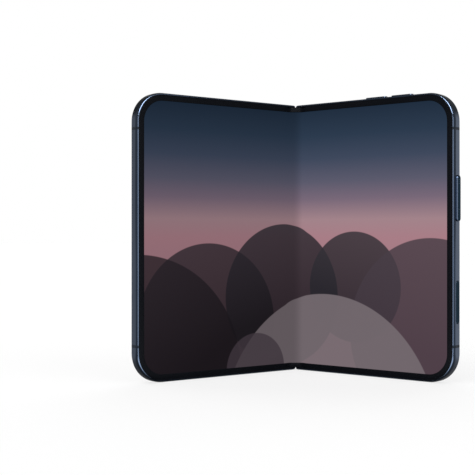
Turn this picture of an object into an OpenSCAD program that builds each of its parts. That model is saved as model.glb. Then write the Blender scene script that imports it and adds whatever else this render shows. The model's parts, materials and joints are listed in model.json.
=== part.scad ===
// Book-style folding smartphone, standing half open on its lower edge.
// The halves are drawn lying flat with the inner screen up: X runs away from the fold, Y runs up the
// phone and Z is 0 at the screen-side rim. They are then folded about two pins and stood upright.

/* [Body] */
// Height of the phone
body_h = 121.2; // [110:0.1:140]
// Width of one half, from the fold to its free edge
half_w = 83.8; // [80:0.1:95]
// Thickness of one half
body_t = 5.2; // [5.2:0.1:6]
// Corner radius of the free corners, seen from the front
corner_r = 12.5; // [9:0.5:16]
// Radius of the frame's edge on the screen side
front_edge_r = 0.35; // [0.2:0.05:0.4]
// Depth below the rim from which the frame's side curves in towards the front
crown_z = 1.9; // [1.4:0.1:2.4]
// Radius of that curve
crown_r = 5.6; // [5:0.1:9]
// Radius of the frame's edge on the back
back_edge_r = 0.7; // [0.3:0.05:0.75]
// Thickness of the frame's side wall
wall = 1.6; // [1.5:0.1:2.2]
// Thickness of the plate inside each frame that carries the screen
midplate_t = 0.6; // [0.4:0.05:0.8]
// How far each half is turned from flat as it stands
fold_rest = 37.9; // [0:0.1:80]

/* [Screens and glass] */
// Width of the metal rim seen round the inner screen
rim_w = 0.75; // [0.7:0.05:0.85]
// Width of the black border beside the rim
bezel_w = 2.65; // [2:0.05:4]
// Height of the black border above the screen
bezel_t = 0.35; // [0.2:0.05:0.4]
// Thickness of the inner screen
screen_t = 0.6; // [0.4:0.05:0.7]
// Distance from the fold over which the screen bends
bend_reach = 8; // [7.5:0.1:9]
// Thickness of the back glass and of the cover glass
glass_t = 0.65; // [0.5:0.05:0.7]
// Distance from the fold to the edge of the outer glass
glass_from_fold = 4; // [3.8:0.1:6]
// Thickness of the screen under the cover glass
cover_screen_t = 0.5; // [0.3:0.05:0.6]

/* [Hinge] */
// Gap between the two rims when the phone is closed
closed_gap = 0.3; // [0.2:0.05:0.5]
// Depth of the hinge pins below the rim
pin_depth = 2.65; // [2.6:0.05:2.75]
// Diameter of the hinge pins
pin_d = 1.0; // [0.8:0.05:1.1]
// Running clearance round pins and in knuckles, on the radius
running_gap = 0.05; // [0.03:0.01:0.08]
// Depth of the V that the two rims leave at each end of the fold
fold_notch = 1.08; // [0.3:0.01:1.12]
// Thickness of the lip that covers the spine
lip_t = 0.7; // [0.6:0.05:0.8]
// Gap between the spine and the halves that turn round it
spine_gap = 0.12; // [0.08:0.02:0.2]
// Wall of the spine
spine_wall = 0.45; // [0.3:0.05:0.6]
// Teeth on each synchronising gear
gear_teeth = 10; // [8:2:12]
// Length of each gear
gear_l = 3.2; // [2:0.1:3.4]
// Distance from the end of the phone to the hinge module
module_y = 9; // [6:0.5:14]
// Share of the fold angle by which the support plates lean back
lean_share = 0.2; // [0.1:0.01:0.22]
// Thickness of the support plates under the fold
support_t = 0.3; // [0.2:0.05:0.35]

/* [Cameras] */
// Height of the camera bar above the back glass
bar_h = 1.6; // [0.8:0.1:3]
// Width of the camera bar, up the phone
bar_w = 24; // [22:0.5:27]
// Distance from the top of the phone to the middle of the camera bar
bar_y = 15; // [14.5:0.1:18]
// Distance from the free edge and from the fold to the ends of the camera bar
bar_end = 5.8; // [5:0.1:9]
// Diameter of the camera rings
ring_d = 17.2; // [14:0.1:18]
// Height of the camera rings above the bar
ring_h = 2.1; // [1:0.1:3]
// Width of the camera rings' wall
ring_wall = 1.15; // [0.8:0.05:1.6]
// Distance from the free edge to the main camera's ring
ring_edge = 7.6; // [6:0.1:10]
// Space between the two rings
ring_space = 1.4; // [0.6:0.1:3]
// Distance from the free edge to the flash
flash_x = 49.5; // [47:0.5:60]
// Diameter of the flash window
flash_d = 3.6; // [2.5:0.1:4.5]

/* [Buttons] */
// Width of the buttons across the edge
button_w = 2.6; // [2:0.1:2.8]
// How far the buttons sit behind the middle of the edge
button_back = 0.3; // [0:0.05:0.35]
// Gap round each button
button_gap = 0.1; // [0.06:0.02:0.16]
// Length of the power button
power_l = 19; // [10:0.5:24]
// Height of the power button's middle above the middle of the phone
power_y = 16.2; // [14:0.1:20]
// How far the power button stands out
power_out = 0.85; // [0.1:0.05:1]
// Length of the camera button
shutter_l = 17.8; // [10:0.1:20]
// Distance of the camera button's middle below the middle of the phone
shutter_y = 26.8; // [20:0.1:32]
// Length of each volume button
volume_l = 10.8; // [8:0.1:12]
// Distance from the fold to the middle of the volume-down button
volume_x = 43.9; // [38:0.1:46]
// Space between the volume buttons
volume_space = 2.4; // [1.6:0.1:5]
// How far the volume buttons stand out
volume_out = 0.5; // [0.2:0.05:0.8]
// Travel of the power and volume buttons
press = 0.25; // [0.15:0.05:0.35]

/* [Ports] */
// Width of the socket's opening
socket_w = 8.34; // [8.34:0.01:8.5]
// Height of the socket's opening
socket_h = 2.56; // [2.5:0.01:2.6]
// Thickness of the socket's shell
socket_wall = 0.2; // [0.15:0.01:0.22]
// Diameter of the sound holes in the lower and upper edges
sound_hole_d = 1.3; // [0.8:0.1:1.6]
// Sound holes in each row
sound_holes = 5; // [3:1:6]
// Width of the plastic antenna bands in the frame
band_w = 1.1; // [0.8:0.1:1.6]
// Distance of the antenna bands from the ends of the phone
band_y = 15.6; // [15:0.1:22]

/* [Inner parts] */
// Thickness of the circuit boards
board_t = 0.8; // [0.5:0.05:1]
// Length of the main board, up the phone
main_board_l = 52; // [44:0.5:60]
// Thickness of the camera half's battery
right_battery_t = 2.6; // [2:0.1:2.7]
// Width of the camera half's battery
right_battery_w = 36; // [28:0.5:38]
// Length of the camera half's battery
right_battery_l = 68; // [50:0.5:74]
// Thickness of the cover half's battery
left_battery_t = 2.1; // [1.5:0.1:2.2]
// Length of the cover half's battery
left_battery_l = 72; // [50:0.5:74]
// Corner radius of the batteries
battery_r = 2; // [0.5:0.1:4]
// Outer diameter of the charging coil
coil_d = 42; // [36:1:46]
// Diameter of the hole in the charging coil
coil_hole_d = 24; // [16:1:30]
// Thickness of the charging coil
coil_t = 0.15; // [0.1:0.01:0.2]
// Length of each magnet bar
magnet_l = 9; // [5:0.5:14]
// Width of the ribbon cable through the spine
flex_w = 8; // [4:0.5:10]
// Clearance between parts that only lie side by side
part_gap = 0.1; // [0.06:0.02:0.15]

/* [Hidden] */
$fn = 64;
eps = 0.02;

// Places of the hinge pins, and the shapes that turn round them
pin_x = pin_depth + closed_gap / 2;
half_gap = 0.1;
cavity_r = body_t - lip_t - pin_depth;
spine_r = cavity_r - spine_gap;
spine_in_r = spine_r - spine_wall;
spine_edge_z = -(pin_depth + 0.35 * spine_r);
end_wall = 1.25;
spine_end_gap = 0.1;
spine_y0 = end_wall + spine_end_gap;
cap_l = 1.5;

// Layers of a half, as heights below the rim
screen_top = -bezel_t;
screen_back = screen_top - screen_t;
midplate_back = screen_back - midplate_t;
glass_in = -(body_t - glass_t);
screen_edge = end_wall + part_gap + 0.05;
glass_edge = back_edge_r + part_gap;

// Hinge rail inside each frame
rail_x = 9.9;
rail_wall = 0.8;
rail_top = -3.0;
plate_pivot = [9.6, -1.3];
plate_barrel_r = 0.28;
plate_inner_x = 2.6;
plate_top = screen_back - eps;
plate_end = 3.2;
plate_notch_x = 7.4;
centre_support_w = 4;

// Hinge modules: an ear, the gears, an ear, the arms, an ear, the friction stack and an ear
ear_l = 1.4;
ear_r = 1.2;
gear_bay = 3.8;
arm_bay = 6.9;
stack_bay = 9.7;
gear_ear_y = ear_l + gear_bay;
arm_y = gear_ear_y + ear_l;
arm_ear_y = arm_y + arm_bay;
stack_y = arm_ear_y + ear_l;
module_l = stack_y + stack_bay + ear_l;
bracket_top = 1.4 - pin_depth;
bracket_deck = 0.25;
gear_pitch_r = pin_x / 3;
gear_m = 2 * gear_pitch_r / gear_teeth;
gear_tip_r = gear_pitch_r + 0.8 * gear_m;
gear_root_r = gear_pitch_r - 1.05 * gear_m;
gear_backlash = 0.9;
idler_pin_r = 0.38;
knuckle_r = 1.1;
arm_t = 0.6;
arm_end = 9.3;
arm_low = -3.1;
washer_t = 0.5;
washer_pitch = 0.62;
washers = 10;
screw_head_r = 0.65;
screw_head_t = 0.3;
screw_r = 0.4;

// Cameras, measured from the fold in the camera half
bar_c = body_h - bar_y;
lens_y = body_h - bar_y;
main_x = ring_edge + ring_d / 2;
wide_x = main_x + ring_d + ring_space;
bar_run = 3.4;
bar_top = -(body_t + bar_h);
window_r = ring_d / 2 - ring_wall - eps;
window_t = 0.6;
window_top = bar_top - ring_h + 0.3;
lens_barrel_r = 6.3;
lens_hole_r = lens_barrel_r + 0.3;
lens_mouth_r = 4.4;
lens_r = 2.6;
camera_box = 14.6;
flash_y = lens_y - 4.9;
mic_y = lens_y + 4.8;
mic_d = 1.2;

// Inner parts: a strip along the free edge for keys and magnets, and a bay above the lower edge
bay_x = rail_x + rail_wall + 1.2;
bay_top = midplate_back;
edge_strip = 4.8;
battery_x1 = half_w - edge_strip;
lower_bay = 20;
end_space = 4;
right_battery_x0 = battery_x1 - right_battery_w;
right_battery_y1 = lower_bay + right_battery_l;
left_battery_y0 = 14;
left_battery_y1 = left_battery_y0 + left_battery_l;
side_space = 1.6;
board_gap = 0.2;
board_top = bay_top - board_gap;
board_back = board_top - board_t;
main_board_y0 = body_h - end_space - main_board_l;
left_arm_w = 5;
left_battery_x0 = bay_x + left_arm_w + side_space;
left_battery_w = battery_x1 - left_battery_x0;
board_hole_r = 1;
board_hole_inset = 2.5;
can_corner_r = 1;
can_side = 5;
can_end = 8;
head_y0 = lens_y - camera_box / 2 - side_space;
head_x1 = half_w - wide_x - camera_box / 2 - side_space;
shield_t = 1.1;
shield_inset = 2;
coil_inset = 25;
flex_t = 0.16;
flex_on_board = 1.8;
flex_over_rail = 0.22;
flex_edge_x = 4.4;
flex_over_edge = 0.26;
flex_bend_x = 2.4;
flex_bend_rise = 0.43;
flex_over_floor = 0.21;
flex_y = main_board_y0 + flex_w / 2 + 1;
left_board_y0 = main_board_y0;
motor_w = 16;
motor_l = 10;
motor_t = 2.4;
speaker_w = 16.5;
speaker_l = 13;
speaker_t = 2.7;
earpiece_w = 16;
earpiece_l = 6.8;
earpiece_t = 1.8;
sound_x = 15;
magnet_w = 1.7;
magnet_t = 1.2;
magnet_up = 31.7;
magnet_down = -11.3;

// Buttons and ports
button_z = -body_t / 2 - button_back;
volume_pitch = volume_l + volume_space;
button_flange = 0.45;
button_flange_t = 0.5;
shutter_press = 0.15;
socket_z = -(body_t - glass_t + midplate_t + screen_t + bezel_t) / 2;
socket_l = 7.4;
sound_pitch = 2.4;
fn_small = 24;

// Where the phone stands: the origin is in the middle of its outline on the table
rest_front = (half_w - pin_x) * sin(fold_rest) + pin_depth * (cos(fold_rest) - 1);
rest_back = pin_depth + (pin_x - half_gap) * sin(fold_rest) + (body_t - pin_depth) * cos(fold_rest);
fold_y = (rest_front - rest_back) / 2;

// ---- Placing -------------------------------------------------------------------------------------

// Stands the flat drawing upright behind the origin.
module stand() {
    translate([0, fold_y, 0]) rotate([90, 0, 0]) children();
}

// Turns a drawing about the pin on one side; side is 1 for the camera half and -1 for the other.
module turn(side, angle) {
    translate([side * pin_x, 0, -pin_depth]) rotate([0, -side * angle, 0])
        translate([-side * pin_x, 0, pin_depth]) children();
}

module on_right() stand() turn(1, fold_rest) children();

module on_left() stand() turn(-1, fold_rest) mirror([1, 0, 0]) children();

// Both ends of the phone: the lower module or end, and its mirror image at the top.
module both_ends() {
    children();
    translate([0, body_h, 0]) mirror([0, 1, 0]) children();
}

// ---- Shapes that are used again ------------------------------------------------------------------

// Outline of a half, drawn in by inset and starting at x from the fold.
module half_outline(inset, from_x) {
    r = corner_r - inset;
    x1 = half_w - corner_r;
    translate([from_x, inset]) square([x1 - from_x, body_h - 2 * inset]);
    translate([x1, corner_r]) square([r, body_h - 2 * corner_r]);
    for (y = [corner_r, body_h - corner_r]) translate([x1, y]) circle(r);
}

// A flat plate of that outline between two heights.
module half_plate(inset, from_x, low, high) {
    translate([0, 0, low]) linear_extrude(high - low) half_outline(inset, from_x);
}

// Sweeps a section round the free edges. The section's first axis is the distance in from the edge.
module edge_sweep(from_x) {
    straight = half_w - corner_r - from_x;
    both_ends() {
        translate([from_x, 0, 0]) rotate([90, 0, 90]) linear_extrude(straight) children();
        translate([half_w - corner_r, corner_r, 0]) rotate([0, 0, -90])
            rotate_extrude(angle = 90) translate([corner_r, 0]) mirror([1, 0]) children();
    }
    translate([half_w, body_h - corner_r, 0]) rotate([90, 0, 0])
        linear_extrude(body_h - 2 * corner_r) mirror([1, 0]) children();
}

// A bar along Y with its ends at y0 and y1 and its axis at x and z.
module rod(x, z, y0, y1, r, sides = 64) {
    translate([x, y1, z]) rotate([90, 0, 0]) cylinder(h = y1 - y0, r = r, $fn = sides);
}

// A box from one corner to the other.
module block(low, high) {
    translate(low) cube(high - low);
}

// Flat outline with round ends, l long along X and w wide.
module slot_outline(l, w) {
    square([l - w, w], center = true);
    for (s = [-1, 1]) translate([s * (l - w) / 2, 0]) circle(d = w);
}

// A stack section across both pins: round ends of radius r about the pins, joined across.
module twin_outline(r) {
    square([2 * pin_x, 2 * r], center = true);
    for (s = [-1, 1]) translate([s * pin_x, 0]) circle(r);
}

module twin_slab(r, y0, y1) {
    translate([0, y1, -pin_depth]) rotate([90, 0, 0]) linear_extrude(y1 - y0) twin_outline(r);
}

// ---- How the inner screen bends ------------------------------------------------------------------

function ease(t) = t * t * (3 - 2 * t);

// Place of a point of the bent screen: at x from the fold and height z when flat.
function bent(x, z) =
    let (side = x < 0 ? -1 : 1, u = abs(x) - pin_x, v = z + pin_depth)
    let (angle = fold_rest * ease(min(1, abs(x) / bend_reach)))
    [side * (pin_x + u * cos(angle) - v * sin(angle)), -pin_depth + u * sin(angle) + v * cos(angle)];

// A strip of the bent screen, from -reach to reach and between two heights.
module bent_strip(reach, low, high, y0, y1, steps) {
    xs = [for (i = [-steps:steps]) reach * i / steps];
    n = len(xs);
    top = [for (x = xs) bent(x, high)];
    under = [for (i = [n - 1:-1:0]) bent(xs[i], low)];
    translate([0, y1, 0]) rotate([90, 0, 0]) linear_extrude(y1 - y0) polygon(concat(top, under));
}

// ---- Spine and hinge modules ---------------------------------------------------------------------

module spine_cover() {
    color("#26303f") stand() difference() {
        twin_slab(spine_r, spine_y0, body_h - spine_y0);
        twin_slab(spine_in_r, 0, body_h);
        block([-body_t * 2, 0, spine_edge_z], [body_t * 2, body_h, 1]);
        for (y = bracket_screw_ys()) translate([0, y, -body_t]) cylinder(h = body_t, r = screw_r);
    }
}

module spine_end_caps() {
    color("#1b222c") stand() both_ends() twin_slab(spine_in_r, spine_y0, spine_y0 + cap_l);
}

// Heights of the screws that hold the brackets to the spine.
function bracket_screw_ys() =
    let (low = module_y + arm_ear_y + ear_l / 2, end = module_y + module_l - ear_l / 2)
    [low, end, body_h - end, body_h - low];

// Ears, deck and bores of one module, drawn at the lower end.
module bracket() {
    floor_z = -(pin_depth + spine_in_r);
    ears = [0, gear_ear_y, arm_ear_y, stack_y + stack_bay];
    difference() {
        union() {
            for (y = ears) {
                twin_slab(ear_r, module_y + y, module_y + y + ear_l);
                block([-pin_x, module_y + y, floor_z], [pin_x, module_y + y + ear_l, bracket_top]);
            }
            block([-centre_support_w / 2, module_y, bracket_top - bracket_deck],
                  [centre_support_w / 2, module_y + module_l, bracket_top]);
        }
        for (s = [-1, 1]) {
            rod(s * pin_x, -pin_depth, 0, body_h / 2, pin_d / 2 + running_gap);
            rod(s * gear_pitch_r, -pin_depth, module_y - 1, module_y + arm_y + 1,
                idler_pin_r + running_gap);
            block([s * (centre_support_w / 2 + pin_x) - pin_x, 0, bracket_top - bracket_deck],
                  [s * (centre_support_w / 2 + pin_x) + pin_x, body_h / 2, 1]);
        }
        for (y = bracket_screw_ys()) translate([0, y, 0]) {
            translate([0, 0, -body_t]) cylinder(h = body_t, r = screw_r);
            translate([0, 0, bracket_top - screw_head_t]) cylinder(h = 1, r = screw_head_r);
        }
    }
}

module hinge_bracket_lower() {
    color("#8f959c") stand() bracket();
}

module hinge_bracket_upper() {
    color("#8f959c") stand() translate([0, body_h, 0]) mirror([0, 1, 0]) bracket();
}

// A screw with its head's top face at the origin, pointing down.
module screw(l, gap) {
    translate([0, 0, -screw_head_t]) cylinder(h = screw_head_t, r = screw_head_r - gap, $fn = fn_small);
    translate([0, 0, -l]) cylinder(h = l, r = screw_r - gap, $fn = fn_small);
}

module bracket_screws() {
    l = pin_depth + spine_r + bracket_top;
    color("#55595f") stand() for (y = bracket_screw_ys()) translate([0, y, bracket_top]) screw(l, eps);
}

// Thin plate under the middle of the screen, between the two modules, on three feet.
module centre_support() {
    y0 = module_y + module_l + part_gap;
    floor_z = -(pin_depth + spine_in_r);
    foot = 3;
    color("#9a9fa6") stand() {
        block([-centre_support_w / 2, y0, bracket_top - bracket_deck],
              [centre_support_w / 2, body_h - y0, bracket_top]);
        for (y = [y0, body_h - y0 - foot])
            block([-1, y, floor_z], [1, y + foot, bracket_top - bracket_deck]);
    }
}

// ---- Synchronising gears -------------------------------------------------------------------------

base_r = gear_pitch_r * cos(20);

function involute(r) = let (a = acos(min(1, base_r / r))) tan(a) * 180 / PI - a;

// Half the angle that a tooth spans at radius r.
function tooth_half(r) =
    90 / gear_teeth - gear_backlash + involute(gear_pitch_r) - involute(max(r, base_r));

// Outline of a gear with a tooth along +X.
function gear_points() =
    let (rs = [gear_root_r, base_r, (base_r + gear_tip_r) / 2, gear_tip_r])
    [for (i = [0:gear_teeth - 1]) each concat(
        [for (r = rs) r * [cos(360 * i / gear_teeth - tooth_half(r)),
                           sin(360 * i / gear_teeth - tooth_half(r))]],
        [for (j = [3:-1:0]) rs[j] * [cos(360 * i / gear_teeth + tooth_half(rs[j])),
                                     sin(360 * i / gear_teeth + tooth_half(rs[j]))]])];

// A gear on the axis at x; turned is its angle about Y from a tooth along X.
module gear(x, turned) {
    y0 = module_y + ear_l + (gear_bay - gear_l) / 2;
    translate([x, y0 + gear_l, -pin_depth]) rotate([0, turned, 0]) rotate([90, 0, 0])
        linear_extrude(gear_l) polygon(gear_points());
}

half_pitch = 180 / gear_teeth;

module idlers(side) {
    turned = side > 0 ? half_pitch + fold_rest : -fold_rest;
    stand() both_ends() {
        gear(side * gear_pitch_r, turned);
        rod(side * gear_pitch_r, -pin_depth, module_y + eps, module_y + arm_y - eps, idler_pin_r);
    }
}

module right_idler_gears() {
    color("#a58f5c") idlers(1);
}

module left_idler_gears() {
    color("#a58f5c") idlers(-1);
}

// Pins with their gears, drawn with the half lying flat.
module hinge_shafts(turned) {
    both_ends() {
        gear(pin_x, turned);
        rod(pin_x, -pin_depth, module_y - part_gap, module_y + module_l + part_gap, pin_d / 2);
    }
}

module right_hinge_shafts() {
    color("#b7bcc2") on_right() hinge_shafts(0);
}

module left_hinge_shafts() {
    color("#b7bcc2") on_left() hinge_shafts(half_pitch);
}

// Arms: a knuckle round the pin and a tongue that is screwed to the hinge rail.
module hinge_arms() {
    y0 = module_y + arm_y + part_gap;
    y1 = module_y + arm_ear_y - part_gap;
    both_ends() difference() {
        union() {
            rod(pin_x, -pin_depth, y0, y1, knuckle_r);
            block([pin_x, y0, arm_low], [arm_end, y1, arm_low + arm_t]);
        }
        rod(pin_x, -pin_depth, y0 - 1, y1 + 1, pin_d / 2 + eps);
        for (y = arm_screw_ys()) translate([arm_screw_x(), y, -body_t]) cylinder(h = body_t, r = screw_r);
    }
}

function arm_screw_x() = (cavity_r + pin_x + arm_end) / 2;

function arm_screw_ys() =
    let (middle = module_y + arm_y + arm_bay / 2)
    [middle - 1.8, middle + 1.8];

module right_hinge_arms() {
    color("#7f868e") on_right() hinge_arms();
}

module left_hinge_arms() {
    color("#7f868e") on_left() hinge_arms();
}

module arm_screws() {
    both_ends() for (y = arm_screw_ys())
        translate([arm_screw_x(), y, arm_low + arm_t + screw_head_t]) screw(arm_t + screw_head_t + 1, eps);
}

module right_arm_screws() {
    color("#55595f") on_right() arm_screws();
}

module left_arm_screws() {
    color("#55595f") on_left() arm_screws();
}

// Friction stack: washers on the pin and the nut that squeezes them.
module friction_washers() {
    y0 = module_y + stack_y + part_gap;
    bore = pin_d / 2 + eps;
    nut_y = y0 + washers * washer_pitch + 0.4;
    both_ends() {
        for (i = [0:washers - 1]) difference() {
            rod(pin_x, -pin_depth, y0 + i * washer_pitch, y0 + i * washer_pitch + washer_t, 1.02);
            rod(pin_x, -pin_depth, 0, body_h, bore);
        }
        difference() {
            rod(pin_x, -pin_depth, nut_y, nut_y + 1.6, knuckle_r, 6);
            rod(pin_x, -pin_depth, 0, body_h, bore);
        }
    }
}

module right_friction_washers() {
    color("#c9a24a") on_right() friction_washers();
}

module left_friction_washers() {
    color("#c9a24a") on_left() friction_washers();
}

// Plate that holds the screen up beside the fold and leans back as the phone closes.
module support_plate() {
    lean = lean_share * fold_rest;
    p = plate_pivot;
    notch = module_l + 2 * part_gap;
    translate([p[0], 0, p[1]]) rotate([0, -lean, 0]) translate([-p[0], 0, -p[1]]) {
        difference() {
            block([plate_inner_x, plate_end, plate_top - support_t], [p[0], body_h - plate_end, plate_top]);
            both_ends() block([0, module_y - part_gap, -body_t],
                              [plate_notch_x, module_y - part_gap + notch, 1]);
        }
        rod(p[0], p[1], plate_end, body_h - plate_end, plate_barrel_r);
    }
}

module right_support_plate() {
    color("#b9bdc3") on_right() support_plate();
}

module left_support_plate() {
    color("#b9bdc3") on_left() support_plate();
}

// ---- Inner screen --------------------------------------------------------------------------------

module inner_screen_fold() {
    color("#3a3f58") stand()
        bent_strip(bend_reach, screen_back, screen_top, screen_edge, body_h - screen_edge, 8);
}

module fold_bezel() {
    color("#111318") stand() both_ends()
        bent_strip(bend_reach, screen_top, 0, screen_edge, rim_w + bezel_w, 8);
}

module inner_screen() {
    half_plate(screen_edge, bend_reach + eps, screen_back, screen_top);
}

module inner_screen_right() {
    color("#4a4a60") on_right() inner_screen();
}

module inner_screen_left() {
    color("#4a4a60") on_left() inner_screen();
}

// Raised black border, stuck on the frame's ledge and over the edge of the screen. Beside the fold
// only its outer strip is stiff; the rest bends with the screen.
module bezel() {
    edge_sweep(bend_reach + part_gap) translate([rim_w + part_gap / 2, -bezel_t])
        square([bezel_w - part_gap / 2, bezel_t]);
    both_ends() difference() {
        block([0, rim_w + part_gap / 2, -bezel_t], [bend_reach + part_gap + eps, end_wall, 0]);
        rim_round();
    }
}

module right_bezel() {
    color("#111318") on_right() bezel();
}

module left_bezel() {
    color("#111318") on_left() bezel();
}

// Ribbon cable through the spine, drawn on its way from the fold into the right half.
module hinge_flex() {
    board = board_back - flex_t / 2 - eps;
    floor_z = -(pin_depth + spine_in_r);
    flat = [[bay_x + flex_on_board, board], [rail_x - rail_wall - part_gap, board],
            [2 * pin_x, rail_top + flex_over_rail], [flex_edge_x, rail_top + flex_over_edge]];
    near = [[flex_bend_x, floor_z + flex_bend_rise], [flex_bend_x / 2, floor_z + flex_over_floor]];
    right = concat([for (p = flat) in_half(p)], near);
    left = [for (i = [len(right) - 1:-1:0]) [-right[i][0], right[i][1]]];
    path = concat(right, left);
    n = len(path);
    top = [for (p = path) p + [0, flex_t / 2]];
    under = [for (i = [n - 1:-1:0]) path[i] - [0, flex_t / 2]];
    color("#c58a2e") stand() translate([0, flex_y + flex_w / 2, 0]) rotate([90, 0, 0])
        linear_extrude(flex_w) polygon(concat(top, under));
}

// A point of the flat camera half, moved to where the half stands.
function in_half(p) =
    let (u = p[0] - pin_x, v = p[1] + pin_depth)
    [pin_x + u * cos(fold_rest) - v * sin(fold_rest), -pin_depth + u * sin(fold_rest) + v * cos(fold_rest)];

// ---- Frames --------------------------------------------------------------------------------------

// Section of the frame's wall: a ledge for the border, one for the screen and a seat for the glass.
module wall_section() {
    f = front_edge_r;
    b = back_edge_r;
    lean = asin((crown_z - f) / (crown_r - f));
    c = [crown_r - (crown_r - f) * cos(lean), -f];
    difference() {
        translate([0, -body_t]) square([wall, body_t]);
        translate([rim_w, -bezel_t]) square([wall, 1]);
        translate([end_wall, screen_back]) square([wall, 1]);
        translate([back_edge_r + eps, -body_t - 1]) square([wall, glass_t + 1]);
        translate([-1, -crown_z]) difference() {
            square([2, crown_z + 1]);
            translate([crown_r + 1, 0]) circle(crown_r);
        }
        difference() {
            polygon([c, c + [0, 1], c + [-1.5, 1], c + 1.5 * [-cos(lean), sin(lean)]]);
            translate(c) circle(f);
        }
        translate([-1, -body_t - 1]) square([1 + b, 1 + b]);
    }
    intersection() {
        translate([0, -body_t]) square([b, b]);
        translate([b, b - body_t]) circle(b);
    }
}

// Room that the spine and the hinge parts need in a half: all that turns past it stays outside.
module hinge_room() {
    y1 = body_h - end_wall;
    rod(pin_x, -pin_depth, end_wall, y1, cavity_r);
    block([-1, end_wall, -pin_depth], [pin_x + cavity_r, y1, 1]);
    block([-1, end_wall, -(pin_depth + cavity_r)], [pin_x, y1, 1]);
    block([-1, end_wall, rail_top], [rail_x, y1, 1]);
    rod(plate_pivot[0], plate_pivot[1], end_wall, y1, plate_barrel_r + running_gap + eps);
    both_ends() block([0, module_y + arm_y, arm_low - eps], [arm_end + part_gap, module_y + arm_ear_y, 1]);
    block([rail_x - 1, flex_y - flex_w / 2 - part_gap, rail_top],
          [rail_x + rail_wall + 1, flex_y + flex_w / 2 + part_gap, midplate_back - part_gap]);
}

// Takes the corner by the fold away, so that the two rims roll past each other, and cuts the V at
// each end of the fold.
module rim_round() {
    difference() {
        block([-1, -1, -pin_depth], [pin_x, body_h + 1, 1]);
        rod(pin_x, -pin_depth, -2, body_h + 2, pin_x - half_gap);
    }
    both_ends() translate([0, 0, -(pin_depth + cavity_r)]) linear_extrude(pin_depth + cavity_r + 1)
        polygon([[pin_x, -1], [pin_x, 0], [half_gap, fold_notch], [-1, fold_notch], [-1, -1]]);
}

// Frame common to both halves, before its own holes.
module frame_body() {
    lip_r = 0.35;
    difference() {
        union() {
            edge_sweep(half_gap) wall_section();
            half_plate(wall - eps, rail_x, midplate_back, screen_back);
            block([rail_x, end_wall, glass_in], [rail_x + rail_wall, body_h - end_wall, screen_back]);
            block([half_gap, wall - eps, glass_in], [rail_x + rail_wall, body_h - wall + eps, rail_top]);
            block([half_gap, 1, -body_t], [glass_from_fold - part_gap, body_h - 1, glass_in + eps]);
        }
        hinge_room();
        rim_round();
        translate([half_gap, body_h + 1, -body_t]) rotate([90, 0, 0]) linear_extrude(body_h + 2)
            difference() {
                square(2 * lip_r, center = true);
                translate([lip_r, lip_r]) circle(lip_r);
            }
        for (y = arm_screw_ys()) both_ends()
            translate([arm_screw_x(), y, arm_low - 1.1]) cylinder(h = 2, r = screw_r);
    }
}

// Slices of the free edges for the plastic antenna bands.
module band_cuts() {
    both_ends() block([half_w - wall - 1, band_y - band_w / 2, -body_t - 1],
                      [half_w + 1, band_y + band_w / 2, 1]);
}

module antenna_bands() {
    intersection() {
        edge_sweep(half_gap) wall_section();
        band_cuts();
    }
}

// Row of sound holes through the lower edge.
module sound_row(middle_x, count) {
    for (i = [0:count - 1])
        rod(middle_x + (i - (count - 1) / 2) * sound_pitch, button_z,
            -1, wall + 1, sound_hole_d / 2, fn_small);
}

// The hole for a button in the free edge, and the room for its flange behind the wall.
module button_hole(l) {
    translate([half_w - wall - 1, 0, button_z]) rotate([90, 0, 90])
        linear_extrude(wall + 2) slot_outline(l + 2 * button_gap, button_w + 2 * button_gap);
}

module at_power() {
    translate([0, body_h / 2 + power_y, 0]) children();
}

module at_shutter() {
    translate([0, body_h / 2 - shutter_y, 0]) children();
}

// Puts what is drawn for the free edge, at Y 0, on the upper edge with its middle at x.
module on_top(x) {
    translate([x, body_h - half_w, 0]) rotate([0, 0, 90]) children();
}

module right_frame() {
    color("#33415a") on_right() difference() {
        frame_body();
        band_cuts();
        at_power() button_hole(power_l);
        at_shutter() button_hole(shutter_l);
        for (i = [0, 1]) on_top(volume_x + i * volume_pitch) button_hole(volume_l);
        translate([half_w / 2, wall + 1, socket_z]) rotate([90, 0, 0]) linear_extrude(wall + 2)
            slot_outline(socket_w + 2 * (socket_wall + eps), socket_h + 2 * (socket_wall + eps));
        for (s = [-1, 1]) sound_row(half_w / 2 + s * sound_x, sound_holes);
    }
}

module right_antenna_bands() {
    color("#1d2533") on_right() antenna_bands();
}

module left_frame() {
    color("#33415a") on_left() difference() {
        frame_body();
        band_cuts();
        translate([0, body_h, 0]) mirror([0, 1, 0]) sound_row(half_w / 2, sound_holes + 2);
    }
}

module left_antenna_bands() {
    color("#1d2533") on_left() antenna_bands();
}

// ---- Back glass and cameras ----------------------------------------------------------------------

// Section of half the camera bar, from its middle line out, with a soft S-shaped side.
module bar_section() {
    r = (bar_run * bar_run + bar_h * bar_h) / (4 * bar_h);
    x0 = bar_w / 2 - bar_run / 2;
    square([x0, bar_h]);
    intersection() {
        translate([x0, bar_h - r]) circle(r);
        translate([x0 - eps, 0]) square([bar_run / 2 + eps, bar_h]);
    }
    difference() {
        translate([x0 + bar_run / 2, 0]) square([bar_run / 2, bar_h / 2]);
        translate([x0 + bar_run, r]) circle(r);
    }
}

module camera_bar() {
    x0 = bar_end + bar_w / 2;
    x1 = half_w - bar_end - bar_w / 2;
    translate([0, bar_c, -body_t]) mirror([0, 0, 1]) {
        for (m = [0, 1]) mirror([0, m, 0])
            translate([x0, 0, 0]) rotate([90, 0, 90]) linear_extrude(x1 - x0) bar_section();
        translate([x1, 0, 0]) rotate([0, 0, -90]) rotate_extrude(angle = 180) bar_section();
        translate([x0, 0, 0]) rotate([0, 0, 90]) rotate_extrude(angle = 180) bar_section();
    }
}

// Round holes and windows along the camera bar.
module at_lens(from_edge) {
    translate([half_w - from_edge, lens_y, 0]) children();
}

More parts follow.
